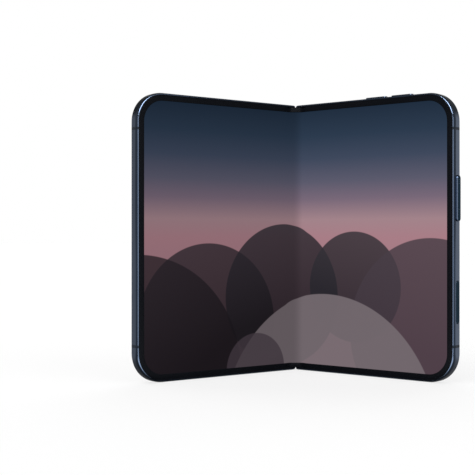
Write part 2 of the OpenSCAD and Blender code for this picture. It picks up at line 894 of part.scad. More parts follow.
module back_glass() {
    color("#3c4857") on_right() difference() {
        union() {
            half_plate(glass_edge, glass_from_fold, -body_t, glass_in);
            camera_bar();
        }
        for (x = [main_x, wide_x]) at_lens(x) translate([0, 0, bar_top - 1])
            cylinder(h = bar_h + body_t, r = lens_hole_r);
        translate([half_w - flash_x, flash_y, bar_top - 1]) cylinder(h = bar_h + body_t, d = flash_d);
        translate([half_w - flash_x, mic_y, bar_top - 1])
            cylinder(h = bar_h + body_t, d = mic_d, $fn = fn_small);
    }
}

module camera_ring() {
    r = ring_d / 2;
    chamfer = 0.3;
    translate([0, 0, bar_top]) mirror([0, 0, 1]) rotate_extrude() polygon([
        [r - ring_wall, 0], [r, 0], [r, ring_h - chamfer], [r - chamfer, ring_h],
        [r - ring_wall + chamfer, ring_h], [r - ring_wall, ring_h - chamfer]]);
}

// Window in a ring, set a little below the ring's face.
module camera_window() {
    translate([0, 0, window_top]) cylinder(h = window_t, r = window_r);
}

// A camera: its box under the back glass, and a barrel with a stepped mouth round the front lens.
module camera_unit() {
    floor_z = glass_in + part_gap;
    barrel_top = window_top + window_t + part_gap / 2;
    mouth = 0.9;
    step = 0.35;
    block([-camera_box / 2, -camera_box / 2, floor_z],
          [camera_box / 2, camera_box / 2, midplate_back - part_gap]);
    rotate_extrude() polygon([
        [0, floor_z + eps], [lens_barrel_r, floor_z + eps], [lens_barrel_r, barrel_top],
        [lens_mouth_r + 2 * step, barrel_top], [lens_mouth_r + step, barrel_top + mouth / 3],
        [lens_mouth_r, barrel_top + mouth / 3], [lens_mouth_r - step, barrel_top + 2 * mouth / 3],
        [lens_r + step, barrel_top + 2 * mouth / 3], [lens_r, barrel_top + mouth], [0, barrel_top + mouth]]);
    dome_r = (lens_r * lens_r + 0.16) / 0.8;
    intersection() {
        translate([0, 0, barrel_top + mouth - 0.4 + dome_r]) sphere(dome_r);
        translate([0, 0, barrel_top]) cylinder(h = mouth + eps, r = lens_r);
    }
}

module main_camera_ring() {
    color("#20262e") on_right() at_lens(main_x) camera_ring();
}

module wide_camera_ring() {
    color("#20262e") on_right() at_lens(wide_x) camera_ring();
}

module main_camera_window() {
    color("#0b0d10") on_right() at_lens(main_x) camera_window();
}

module wide_camera_window() {
    color("#0b0d10") on_right() at_lens(wide_x) camera_window();
}

module main_camera() {
    color("#15171b") on_right() at_lens(main_x) camera_unit();
}

module wide_camera() {
    color("#15171b") on_right() at_lens(wide_x) camera_unit();
}

module flash_window() {
    color("#e9e6d8") on_right() translate([half_w - flash_x, flash_y, bar_top + 0.05])
        cylinder(h = bar_h + glass_t - 0.05, r = flash_d / 2 - eps);
}

module cover_glass() {
    color("#0e1116") on_left() half_plate(glass_edge, glass_from_fold, -body_t, glass_in);
}

cover_screen_inset = 3;

module cover_screen() {
    color("#1b2030") on_left()
        half_plate(cover_screen_inset, rail_x + rail_wall + part_gap, glass_in, glass_in + cover_screen_t);
}

cover_camera_w = 6;
cover_camera_inset = 12;

// Small camera behind the cover glass, in a notch of its own in the cover screen's edge strip.
module cover_camera() {
    low = glass_in + cover_screen_t;
    color("#15171b") on_left() translate([half_w / 2, body_h - cover_camera_inset, 0])
        block([-cover_camera_w / 2, -cover_camera_w / 2, low],
              [cover_camera_w / 2, cover_camera_w / 2, midplate_back - part_gap]);
}

// ---- Inner parts ---------------------------------------------------------------------------------

// A plate with round corners from one corner to the other, reaching down from the height top.
module pad(x0, y0, w, l, top, t, r) {
    translate([x0, y0, top - t]) linear_extrude(t) {
        translate([r, 0]) square([w - 2 * r, l]);
        translate([0, r]) square([w, l - 2 * r]);
        for (x = [r, w - r], y = [r, l - r]) translate([x, y]) circle(r, $fn = fn_small);
    }
}

// A battery pouch, with the folded strip at its upper end that carries its circuit.
module battery(x0, y0, w, l, t) {
    strip = 4;
    pad(x0, y0, w, l - strip, bay_top, t, battery_r);
    block([x0 + battery_r, y0 + l - strip - eps, bay_top - t * 0.7], [x0 + w - battery_r, y0 + l, bay_top]);
}

module right_battery() {
    color("#24272c") on_right()
        battery(right_battery_x0, lower_bay, right_battery_w, right_battery_l, right_battery_t);
}

module left_battery() {
    color("#24272c") on_left()
        battery(left_battery_x0, left_battery_y0, left_battery_w, left_battery_l, left_battery_t);
}

// Board with an arm beside the battery and a head beside the cameras.
module main_board() {
    arm_x1 = right_battery_x0 - side_space;
    y1 = body_h - end_space;
    notch = 3;
    color("#1f4a3a") on_right() translate([0, 0, board_back]) linear_extrude(board_t) difference() {
        polygon([
            [bay_x, main_board_y0], [arm_x1, main_board_y0], [arm_x1, head_y0], [head_x1, head_y0],
            [head_x1, y1], [bay_x + notch, y1], [bay_x, y1 - notch]]);
        for (y = [main_board_y0 + board_hole_inset, head_y0 - board_hole_inset])
            translate([arm_x1 - board_hole_inset, y]) circle(board_hole_r, $fn = fn_small);
        translate([bay_x + board_hole_inset, y1 - notch - board_hole_inset])
            circle(board_hole_r, $fn = fn_small);
    }
}

// Two metal cans over the main board's chips.
module board_shields() {
    low_y0 = main_board_y0 + flex_w + 3;
    x0 = bay_x + shield_inset;
    low_w = right_battery_x0 - side_space - can_side - x0;
    high_w = head_x1 - can_side - x0;
    color("#a9adb2") on_right() {
        pad(x0, low_y0, low_w, head_y0 - low_y0 - shield_inset, board_back, shield_t, can_corner_r);
        pad(x0, head_y0, high_w, body_h - end_space - can_end - head_y0, board_back, shield_t, can_corner_r);
    }
}

module left_board() {
    x1 = half_w / 2 - earpiece_w / 2 - side_space;
    y1 = body_h - end_space - side_space;
    head_low = left_battery_y1 + side_space;
    color("#1f4a3a") on_left() translate([0, 0, board_back]) linear_extrude(board_t) difference() {
        polygon([
            [bay_x, left_board_y0], [bay_x + left_arm_w, left_board_y0], [bay_x + left_arm_w, head_low],
            [x1, head_low], [x1, y1], [bay_x, y1]]);
        translate([x1 - board_hole_inset, y1 - board_hole_inset]) circle(board_hole_r, $fn = fn_small);
    }
}

module usb_socket() {
    tongue_w = 6.69;
    tongue_t = 0.7;
    back = 0.8;
    inset = 0.2;
    tongue_inset = 1.2;
    color("#9ba1a8") on_right() translate([half_w / 2, 0, socket_z]) {
        difference() {
            translate([0, socket_l, 0]) rotate([90, 0, 0]) linear_extrude(socket_l - inset)
                slot_outline(socket_w + 2 * socket_wall, socket_h + 2 * socket_wall);
            translate([0, socket_l - back, 0]) rotate([90, 0, 0]) linear_extrude(socket_l)
                slot_outline(socket_w, socket_h);
        }
        block([-tongue_w / 2, tongue_inset, -tongue_t / 2],
              [tongue_w / 2, socket_l - back + eps, tongue_t / 2]);
    }
}

module haptic_motor() {
    color("#c4c7cb") on_right() pad(bay_x + 1, end_space, motor_w, motor_l, bay_top, motor_t, 1);
}

// Loudspeaker box behind the sound holes of the lower edge, with its spout at the wall.
module bottom_speaker() {
    x0 = half_w / 2 + sound_x - speaker_w / 2;
    spout = 2;
    spout_side = 1.5;
    color("#2b2e33") on_right() {
        pad(x0, wall + spout, speaker_w, speaker_l - spout, bay_top, speaker_t, 1);
        block([x0 + spout_side, wall + part_gap, button_z - sound_hole_d],
              [x0 + speaker_w - spout_side, wall + spout + 1, bay_top]);
    }
}

module ear_speaker() {
    color("#2b2e33") on_left()
        pad(half_w / 2 - earpiece_w / 2, body_h - wall - part_gap - earpiece_l, earpiece_w, earpiece_l,
            bay_top, earpiece_t, 1);
}

module charging_coil() {
    color("#b06a3a") on_right() translate([half_w / 2, lower_bay + coil_inset, glass_in]) difference() {
        cylinder(h = coil_t, d = coil_d);
        translate([0, 0, -1]) cylinder(h = 2, d = coil_hole_d);
    }
}

// Bars along the free edge that hold the closed halves together.
module magnets() {
    x0 = battery_x1 + 0.5;
    for (y = [magnet_down, magnet_up]) translate([0, body_h / 2 + y, 0])
        block([x0, 0, bay_top - magnet_t], [x0 + magnet_w, magnet_l, bay_top]);
}

module right_magnets() {
    color("#8a8e93") on_right() magnets();
}

module left_magnets() {
    color("#8a8e93") on_left() magnets();
}

// ---- Buttons -------------------------------------------------------------------------------------

// A button in the free edge, with the flange that keeps it in.
module button(l, out) {
    inner = half_w - wall - part_gap / 2;
    block([inner - button_flange_t, -l / 2 - button_flange, glass_in + part_gap],
          [inner, l / 2 + button_flange, midplate_back - part_gap]);
    translate([inner, 0, button_z]) rotate([90, 0, 90])
        linear_extrude(wall + part_gap / 2 + out) slot_outline(l, button_w);
}

// Switch behind a button, one press away from its flange.
module dome_switch(travel) {
    high = half_w - wall - part_gap / 2 - button_flange_t - travel - 0.05;
    block([high - 0.7, -2, button_z - 1], [high, 2, button_z + 1]);
}

module power_button() {
    color("#33415a") on_right() at_power() button(power_l, power_out);
}

module camera_button() {
    color("#2b374d") on_right() at_shutter() button(shutter_l, 0);
}

module volume_down_button() {
    color("#33415a") on_right() on_top(volume_x) button(volume_l, volume_out);
}

module volume_up_button() {
    color("#33415a") on_right() on_top(volume_x + volume_pitch) button(volume_l, volume_out);
}

module button_switches() {
    color("#b4b8bd") on_right() {
        at_power() dome_switch(press);
        at_shutter() dome_switch(shutter_press);
        for (i = [0, 1]) on_top(volume_x + i * volume_pitch) dome_switch(press);
    }
}

// ---- Nodes ---------------------------------------------------------------------------------------

spine_cover();
spine_end_caps();
hinge_bracket_lower();
hinge_bracket_upper();
bracket_screws();
centre_support();
right_idler_gears();
left_idler_gears();
right_hinge_shafts();
left_hinge_shafts();
right_hinge_arms();
left_hinge_arms();
right_friction_washers();
left_friction_washers();
right_arm_screws();
left_arm_screws();
right_support_plate();
left_support_plate();
inner_screen_fold();
fold_bezel();
hinge_flex();
right_frame();
right_antenna_bands();
inner_screen_right();
right_bezel();
back_glass();
main_camera_ring();
wide_camera_ring();
main_camera_window();
wide_camera_window();
main_camera();
wide_camera();
flash_window();
right_battery();
main_board();
board_shields();
usb_socket();
haptic_motor();
bottom_speaker();
charging_coil();
right_magnets();
button_switches();
power_button();
camera_button();
volume_up_button();
volume_down_button();
left_frame();
left_antenna_bands();
inner_screen_left();
left_bezel();
cover_glass();
cover_screen();
cover_camera();
left_battery();
left_board();
ear_speaker();
left_magnets();
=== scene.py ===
import json
import logging
import math
from collections.abc import Callable, Sequence
from dataclasses import dataclass
from enum import Enum
from typing import Protocol

import bmesh
import bpy
import numpy as np
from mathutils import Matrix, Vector

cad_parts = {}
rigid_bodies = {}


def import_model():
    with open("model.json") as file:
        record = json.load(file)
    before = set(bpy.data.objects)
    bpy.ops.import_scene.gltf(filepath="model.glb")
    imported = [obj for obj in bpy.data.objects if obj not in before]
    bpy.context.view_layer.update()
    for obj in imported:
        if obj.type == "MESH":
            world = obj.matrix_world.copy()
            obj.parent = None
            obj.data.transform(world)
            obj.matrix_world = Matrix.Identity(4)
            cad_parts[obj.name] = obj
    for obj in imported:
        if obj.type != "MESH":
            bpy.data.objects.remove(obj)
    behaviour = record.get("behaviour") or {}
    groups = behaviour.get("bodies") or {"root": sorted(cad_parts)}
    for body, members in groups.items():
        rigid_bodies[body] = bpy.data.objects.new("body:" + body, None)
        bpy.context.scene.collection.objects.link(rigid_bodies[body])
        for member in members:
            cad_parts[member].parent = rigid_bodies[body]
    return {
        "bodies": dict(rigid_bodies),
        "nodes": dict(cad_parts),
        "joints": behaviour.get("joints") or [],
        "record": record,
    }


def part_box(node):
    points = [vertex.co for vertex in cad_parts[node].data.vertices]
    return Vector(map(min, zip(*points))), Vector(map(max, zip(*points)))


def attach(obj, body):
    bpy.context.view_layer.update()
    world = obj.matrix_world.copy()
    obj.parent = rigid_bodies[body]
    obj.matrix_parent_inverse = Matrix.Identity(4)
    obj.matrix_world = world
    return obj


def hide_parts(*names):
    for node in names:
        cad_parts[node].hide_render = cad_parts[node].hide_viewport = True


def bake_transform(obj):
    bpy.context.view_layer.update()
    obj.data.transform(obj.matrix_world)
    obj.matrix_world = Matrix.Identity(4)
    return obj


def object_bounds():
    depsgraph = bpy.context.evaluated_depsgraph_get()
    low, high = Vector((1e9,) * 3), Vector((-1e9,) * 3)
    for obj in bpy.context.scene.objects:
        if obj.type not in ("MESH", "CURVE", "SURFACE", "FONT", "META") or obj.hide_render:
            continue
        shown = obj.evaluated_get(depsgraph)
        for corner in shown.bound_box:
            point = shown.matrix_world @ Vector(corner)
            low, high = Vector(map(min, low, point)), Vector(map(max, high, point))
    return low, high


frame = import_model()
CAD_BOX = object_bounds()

LOG = logging.getLogger("folding_phone")
MM = 0.001
MERGE = 2e-6  # distance in metres up to which points are merged
Point = tuple[float, float, float]
Colour = tuple[float, float, float]
Section = Sequence[tuple[float, float]]
Place = Callable[[np.ndarray], np.ndarray]
Socket = bpy.types.NodeSocket
WHITE: Colour = (1.0, 1.0, 1.0)


# ---- Sizes ---------------------------------------------------------------------------------------


class Side(Enum):
    """Which half a piece belongs to; the value is the sign of its X."""

    RIGHT = 1
    LEFT = -1

    @property
    def word(self) -> str:
        """Name of the side, as the bodies use it."""
        return "right" if self is Side.RIGHT else "left"

    @property
    def body(self) -> str:
        """Body of this half."""
        return f"{self.word}_half"


@dataclass(frozen=True)
class PhoneSizes:
    """Sizes of the phone lying flat, in millimetres, as the solids have them.

    Attributes:
        body_h: Height of the phone.
        half_w: Width of a half, from the fold to its free edge.
        body_t: Thickness of a half without the camera bar.
        corner_r: Radius of the corners.
        rim_w: Width of the metal rim.
        bezel_w: Width of the black border inside the rim.
        bezel_t: Thickness of the border.
        ledge: Distance from the outer edge at which the frame's ledge ends.
        screen_edge: Distance from the outer edge at which the screen starts.
        screen_t: Thickness of the screen.
        wall: Thickness of the frame's wall.
        pin_depth: Depth of the pins below the rim.
        bend_reach: Distance from the fold over which the screen bends.
        button_z: Height of the middle of the keys and of the sound holes.
        lens_y: Height up the phone of the cameras' middles.
        bar_h: Rise of the camera bar over the back.
        ring_d: Outer diameter of a camera ring.
        ring_h: Height of a ring over the bar.
        ring_wall: Width of a ring.
        main_x: Distance of the main camera from the free edge.
        wide_x: Distance of the wide camera from it.
        flash_x: Distance of the flash from it.
    """

    body_h: float = 121.2
    half_w: float = 83.8
    body_t: float = 5.2
    corner_r: float = 12.5
    rim_w: float = 0.75
    bezel_w: float = 2.65
    bezel_t: float = 0.35
    ledge: float = 1.25
    screen_edge: float = 1.4
    screen_t: float = 0.6
    wall: float = 1.6
    pin_depth: float = 2.65
    bend_reach: float = 8.0
    button_z: float = -2.9
    lens_y: float = 106.2
    bar_h: float = 1.6
    ring_d: float = 17.2
    ring_h: float = 2.1
    ring_wall: float = 1.15
    main_x: float = 16.2
    wide_x: float = 34.8
    flash_x: float = 49.5

    @property
    def bar_top(self) -> float:
        """Height of the camera bar's face."""
        return -(self.body_t + self.bar_h)


@dataclass(frozen=True)
class Fold:
    """How flat drawings are turned about the pins and stood upright.

    Attributes:
        pin_x: Distance of a pin from the fold, in millimetres.
        pin_depth: Depth of the pins below the rim.
        offset: Distance of the flat rim plane behind the origin.
        rest: Angle of each half from flat as the phone stands, in radians.
        halvings: Steps in which the shares of a bend are found.
    """

    pin_x: float
    pin_depth: float
    offset: float
    rest: float
    halvings: int = 40

    @classmethod
    def from_frame(cls, joints: Sequence[dict], depth: float) -> "Fold":
        """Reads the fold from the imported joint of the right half.

        Args:
            joints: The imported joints.
            depth: Depth of the pins below the rim.

        Returns:
            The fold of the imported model.
        """
        joint = next(j for j in joints if j["name"] == "right_fold")
        pin = [value / MM for value in joint["pos_m"]]
        return cls(pin[0], depth, pin[1] - depth, math.radians(-joint["range_deg"][0]))

    def stand(self, flat: np.ndarray) -> np.ndarray:
        """Stands flat points upright.

        Args:
            flat: Points of the flat drawing, already folded.

        Returns:
            The same points in the row frame, in metres.
        """
        x, y, z = flat.T
        return np.stack([x, self.offset - z, y], axis=1) * MM

    def turned(self, flat: np.ndarray, angle: np.ndarray | float) -> np.ndarray:
        """Turns points of the right half about its pin.

        Args:
            flat: Points of the right half, lying flat.
            angle: Angle of each point, in radians.

        Returns:
            The turned points, still in the flat frame.
        """
        u, v = flat[:, 0] - self.pin_x, flat[:, 2] + self.pin_depth
        cos, sin = np.cos(angle), np.sin(angle)
        x, z = self.pin_x + u * cos - v * sin, u * sin + v * cos - self.pin_depth
        return np.stack([x, flat[:, 1], z], axis=1)

    def stiff(self, side: Side) -> Place:
        """Gives the placing of stiff pieces on one half.

        Args:
            side: The half that carries the piece.

        Returns:
            A function from flat points to the row frame.
        """

        def place(flat: np.ndarray) -> np.ndarray:
            """Places the points.

            Args:
                flat: Points of the flat drawing.

            Returns:
                The points in the row frame.
            """
            folded = self.turned(flat, self.rest)
            folded[:, 0] *= side.value
            return self.stand(folded)

        return place

    def bend_end(self, reach: float) -> float:
        """Distance from the fold, as the phone stands, at which the screen stops bending.

        Args:
            reach: The same distance when the phone lies flat.

        Returns:
            The distance along X in millimetres.
        """
        return float(self.turned(np.array([[reach, 0.0, 0.0]]), self.rest)[0, 0])

    def bent(self, side: Side, reach: float) -> Place:
        """Gives the placing of pieces that bend between the spine and one half.

        The share of the turn is found so that the blend between the bodies gives a flat sheet when
        the phone is opened flat.

        Args:
            side: The half on that side of the fold.
            reach: Distance from the fold over which the sheet bends when flat.

        Returns:
            A function from flat points to the row frame.
        """
        end = self.bend_end(reach)

        def place(flat: np.ndarray) -> np.ndarray:
            """Places the points.

            Args:
                flat: Points of the flat drawing.

            Returns:
                The points in the row frame.
            """
            low, high = np.zeros(len(flat)), np.ones(len(flat))
            for _ in range(self.halvings):
                share = (low + high) / 2
                t = np.clip(self.turned(flat, share * self.rest)[:, 0] / end, 0, 1)
                too_small = t * t * (3 - 2 * t) > share
                low, high = np.where(too_small, share, low), np.where(too_small, high, share)
            folded = self.turned(flat, (low + high) / 2 * self.rest)
            folded[:, 0] *= side.value
            return self.stand(folded)

        return place


# ---- Mesh building -------------------------------------------------------------------------------


class Shell:
    """Collects the points and faces of one mesh, in the flat frame and in millimetres."""

    def __init__(self) -> None:
        """Starts empty."""
        self.points: list[np.ndarray] = []
        self.faces: list[list[int]] = []
        self.count = 0

    def add(self, points: np.ndarray) -> int:
        """Adds points.

        Args:
            points: Rows of x, y and z.

        Returns:
            The index of the first one.
        """
        first = self.count
        self.points.append(np.asarray(points, float).reshape(-1, 3))
        self.count += len(self.points[-1])
        return first

    def grid(self, rows: np.ndarray, around: bool = False, along: bool = False) -> None:
        """Adds a grid of four-sided faces.

        Args:
            rows: Points as an array of rows by columns by 3.
            around: Joins the last column to the first.
            along: Joins the last row to the first.
        """
        n_rows, n_cols = rows.shape[:2]
        first = self.add(rows)
        for i in range(n_rows if along else n_rows - 1):
            for j in range(n_cols if around else n_cols - 1):
                a, b = i * n_cols, (i + 1) % n_rows * n_cols
                k = (j + 1) % n_cols
                self.faces.append([first + a + j, first + a + k, first + b + k, first + b + j])

    def cap(self, ring: np.ndarray) -> None:
        """Closes an opening with one face.

        Args:
            ring: Points round the opening; they are merged with those already there.
        """
        first = self.add(ring)
        self.faces.append(list(range(first, first + len(ring))))

    def tube(self, rings: np.ndarray) -> None:
        """Joins rings of points to a tube and closes its ends.

        Args:
            rings: Points as an array of rings by points by 3.
        """
        self.grid(rings, around=True)
        self.cap(rings[0])
        self.cap(rings[-1])

    def build(self, name: str, place: Place, smooth: float = 35.0) -> bpy.types.Object:
        """Makes the object.

        Args:
            name: Name of the piece.
            place: Function from flat points to the row frame.
            smooth: Edges sharper than this angle in degrees stay sharp.

        Returns:
            The new object, with its place in its mesh.
        """
        flat = np.vstack(self.points)
        mesh = bpy.data.meshes.new(name)
        mesh.from_pydata(place(flat).tolist(), [], self.faces)
        store = mesh.attributes.new("flat_place", "FLOAT_VECTOR", "POINT")
        store.data.foreach_set("vector", flat.astype(np.float32).ravel())
        tidy(mesh, smooth)
        return linked(name, mesh)


def linked(name: str, data: bpy.types.ID | None) -> bpy.types.Object:
    """Makes an object and puts it in the scene.

    Args:
        name: Name of the object.
        data: Its mesh, lamp or camera.

    Returns:
        The object.
    """
    made = bpy.data.objects.new(name, data)
    bpy.context.scene.collection.objects.link(made)
    return made


def tidy(mesh: bpy.types.Mesh, smooth: float) -> None:
    """Merges doubles, turns faces outward and sets smooth shading up to an angle.

    Args:
        mesh: The mesh to change.
        smooth: Edges sharper than this angle in degrees stay sharp.
    """
    work = bmesh.new()
    work.from_mesh(mesh)
    bmesh.ops.remove_doubles(work, verts=work.verts, dist=MERGE)
    bmesh.ops.dissolve_degenerate(work, edges=work.edges, dist=MERGE / 2)
    bmesh.ops.recalc_face_normals(work, faces=work.faces)
    for face in work.faces:
        face.smooth = True
    limit = math.radians(smooth)
    for edge in work.edges:
        edge.smooth = not edge.is_manifold or edge.calc_face_angle(0.0) < limit
    work.to_mesh(mesh)
    work.free()
    mesh.update()


def flatten(made: bpy.types.Object) -> bpy.types.Object:
    """Turns an object's modifiers into plain mesh.

    Args:
        made: The object with its modifiers.

    Returns:
        The same object, with the result as its mesh and no modifiers left.
    """
    graph = bpy.context.evaluated_depsgraph_get()
    result = bpy.data.meshes.new_from_object(made.evaluated_get(graph), depsgraph=graph)
    made.modifiers.clear()
    result.name = made.name
    made.data = result
    return made


def weighted(made: bpy.types.Object) -> bpy.types.Object:
    """Lets large flat faces keep their own shading beside small round ones.

    Args:
        made: The object to shade.

    Returns:
        The same object, as plain mesh.
    """
    modifier = made.modifiers.new("shading", "WEIGHTED_NORMAL")
    modifier.mode = "FACE_AREA"
    modifier.weight = 100
    modifier.keep_sharp = True
    return flatten(made)


def half_path(sizes: PhoneSizes, start: float, fine: float = 10.0, step: float = 0.25,
              steps: int = 28) -> tuple[np.ndarray, np.ndarray]:
    """Outline of a half's free edges, from the lower end of the fold round to its upper end.

    Args:
        sizes: Sizes of the phone.
        start: Distance from the fold at which the outline starts and ends.
        fine: Length from there over which it has close points, because it bends.
        step: Distance between these points.
        steps: Steps round each corner.

    Returns:
        Points on the outer edge and the directions out of it.
    """
    r, w, h = sizes.corner_r, sizes.half_w, sizes.body_h
    edge = np.arange(start, start + fine, step)
    points = [(x, 0.0) for x in edge]
    outs = [(0.0, -1.0)] * len(edge)
    for low, centre_y in ((-90, r), (0, h - r)):
        for i in range(steps + 1):
            a = math.radians(low + 90 * i / steps)
            outs.append((math.cos(a), math.sin(a)))
            points.append((w - r + r * outs[-1][0], centre_y + r * outs[-1][1]))
    points += [(x, h) for x in edge[::-1]]
    outs += [(0.0, 1.0)] * len(edge)
    return np.array(points), np.array(outs)


def sweep(path: tuple[np.ndarray, np.ndarray], section: Section) -> Shell:
    """Sweeps a closed section along an outline and closes its ends.

    Args:
        path: Points of the outline and the directions out of it.
        section: Distance in from the outline and height, point by point round the section.

    Returns:
        The swept shape.
    """
    shell = Shell()
    points, outs = path
    shell.tube(np.array(
        [[(*(p - d * o), z) for d, z in section] for p, o in zip(points, outs, strict=True)]
    ))
    return shell


def rounded(corners: Sequence[Point], steps: int = 5) -> list[tuple[float, float]]:
    """Rounds the corners of a closed section.

    Args:
        corners: The corners as x, y and radius.
        steps: Steps round each corner.

    Returns:
        The points of the rounded section.
    """
    out: list[tuple[float, float]] = []
    n = len(corners)
    for i, (x, y, r) in enumerate(corners):
        here = np.array([x, y])
        if r <= 0:
            out.append((x, y))
            continue
        before = np.array(corners[i - 1][:2]) - here
        after = np.array(corners[(i + 1) % n][:2]) - here
        before, after = before / np.linalg.norm(before), after / np.linalg.norm(after)
        half = math.acos(float(np.clip(before @ after, -1, 1))) / 2
        reach = r / math.tan(half)
        middle = here + (before + after) / np.linalg.norm(before + after) * r / math.sin(half)
        a, b = here + before * reach - middle, here + after * reach - middle
        for k in range(steps + 1):
            swing = a * (1 - k / steps) + b * (k / steps)
            out.append(tuple(middle + swing / np.linalg.norm(swing) * r))
    return out


def revolve(centre: Point, section: Section, steps: int = 96) -> Shell:
    """Revolves a section about an axis that points out of the back.

    Args:
        centre: Point on the axis, with its height as the section's zero.
        section: Radius and height out of the back, point by point round a closed section, or an
            open one whose two ends lie on the axis.
        steps: Steps round the axis.

    Returns:
        The revolved shape.
    """
    on_axis = section[0][0] == 0 and section[-1][0] == 0
    rows = []
    for i in range(steps):
        cos, sin = math.cos(2 * math.pi * i / steps), math.sin(2 * math.pi * i / steps)
        rows.append([(centre[0] + r * cos, centre[1] + r * sin, centre[2] - h) for r, h in section])
    shell = Shell()
    shell.grid(np.array(rows), around=not on_axis, along=True)
    return shell


def move_flat(made: bpy.types.Object, place: Place, smooth: float = 40.0) -> bpy.types.Object:
    """Moves a mesh drawn in the flat frame to the row frame.

    Args:
        made: The piece, in millimetres.
        place: Function from flat points to the row frame.
        smooth: Edges sharper than this angle in degrees stay sharp.

    Returns:
        The same piece, with its faces outward.
    """
    mesh = made.data
    flat = np.array([v.co for v in mesh.vertices], float).reshape(-1, 3)
    mesh.vertices.foreach_set("co", place(flat).astype(np.float32).ravel())
    tidy(mesh, smooth)
    return made


# ---- Nodes ---------------------------------------------------------------------------------------


def linear(red: float, green: float, blue: float) -> Colour:
    """Turns a display colour from 0 to 255 into a linear one.

    Args:
        red: Red.
        green: Green.
        blue: Blue.

    Returns:
        The linear colour.
    """
    shares = [value / 255 for value in (red, green, blue)]
    return tuple(v / 12.92 if v <= 0.04045 else ((v + 0.055) / 1.055) ** 2.4 for v in shares)


class Nodes:
    """Adds nodes to a tree. What goes into them is a socket, a number or a colour."""

    def __init__(self, tree: bpy.types.NodeTree) -> None:
        """Keeps the tree.

        Args:
            tree: The tree.
        """
        self.tree = tree

    def put(self, socket: Socket, value: object) -> None:
        """Sets or links a socket.

        Args:
            socket: The input.
            value: A socket, a number or a colour.
        """
        if isinstance(value, Socket):
            self.tree.links.new(value, socket)
        elif isinstance(value, tuple) and socket.type == "RGBA":
            socket.default_value = (*value[:3], 1.0)
        else:
            socket.default_value = value

    def node(self, kind: str, given: Sequence | dict = (), **settings: object) -> bpy.types.Node:
        """Adds a node.

        Args:
            kind: Blender's name of the node, which may leave out ShaderNode.
            given: What goes into it, in order or by the names or places of its inputs.
            **settings: Properties of the node.

        Returns:
            The node.
        """
        made = self.tree.nodes.new(kind if "Node" in kind else "ShaderNode" + kind)
        for key, value in settings.items():
            setattr(made, key, value)
        for key, value in given.items() if isinstance(given, dict) else enumerate(given):
            self.put(made.inputs[key], value)
        return made

    def math(self, operation: str, a: object, b: object = 0.0, c: object = 0.0) -> Socket:
        """Adds a Math node.

        Args:
            operation: What it does.
            a: First value.
            b: Second value.
            c: Third value.

        Returns:
            Its result.
        """
        return self.node("Math", (a, b, c), operation=operation).outputs[0]

    def mix(self, share: object, a: object, b: object) -> Socket:
        """Mixes two colours.

        Args:
            share: Share of the second one.
            a: First colour.
            b: Second colour.

        Returns:
            The mixed colour.
        """
        return self.node("Mix", {0: share, 6: a, 7: b}, data_type="RGBA").outputs[2]

    def span(self, value: object, low: float, high: float, to_low: float = 0.0,
             to_high: float = 1.0, smooth: bool = False) -> Socket:
        """Maps a range of values to another one, clamped.

        Args:
            value: What is mapped.
            low: Start of the range.
            high: End of the range.
            to_low: Result at the start.
            to_high: Result at the end.
            smooth: Eases in and out.

        Returns:
            The mapped value.
        """
        kind = "SMOOTHSTEP" if smooth else "LINEAR"
        given = (value, low, high, to_low, to_high)
        return self.node("MapRange", given, interpolation_type=kind).outputs[0]

    def split(self, vector: Socket) -> Sequence[Socket]:
        """Splits a vector.

        Args:
            vector: The vector.

        Returns:
            Its parts along X, Y and Z.
        """
        return self.node("SeparateXYZ", (vector,)).outputs[:3]

    def seen_by(self, rays: Sequence[str], seen: Socket, others: Socket) -> Socket:
        """Shows one shader to some rays, and another one to all others.

        Args:
            rays: Outputs of Light Path for which the first one is seen.
            seen: The first shader.
            others: The other one.

        Returns:
            The mixed shader.
        """
        path = self.node("LightPath").outputs
        share = path[rays[0]]
        for ray in rays[1:]:
            share = self.math("MAXIMUM", share, path[ray])
        return self.node("MixShader", (share, others, seen)).outputs[0]


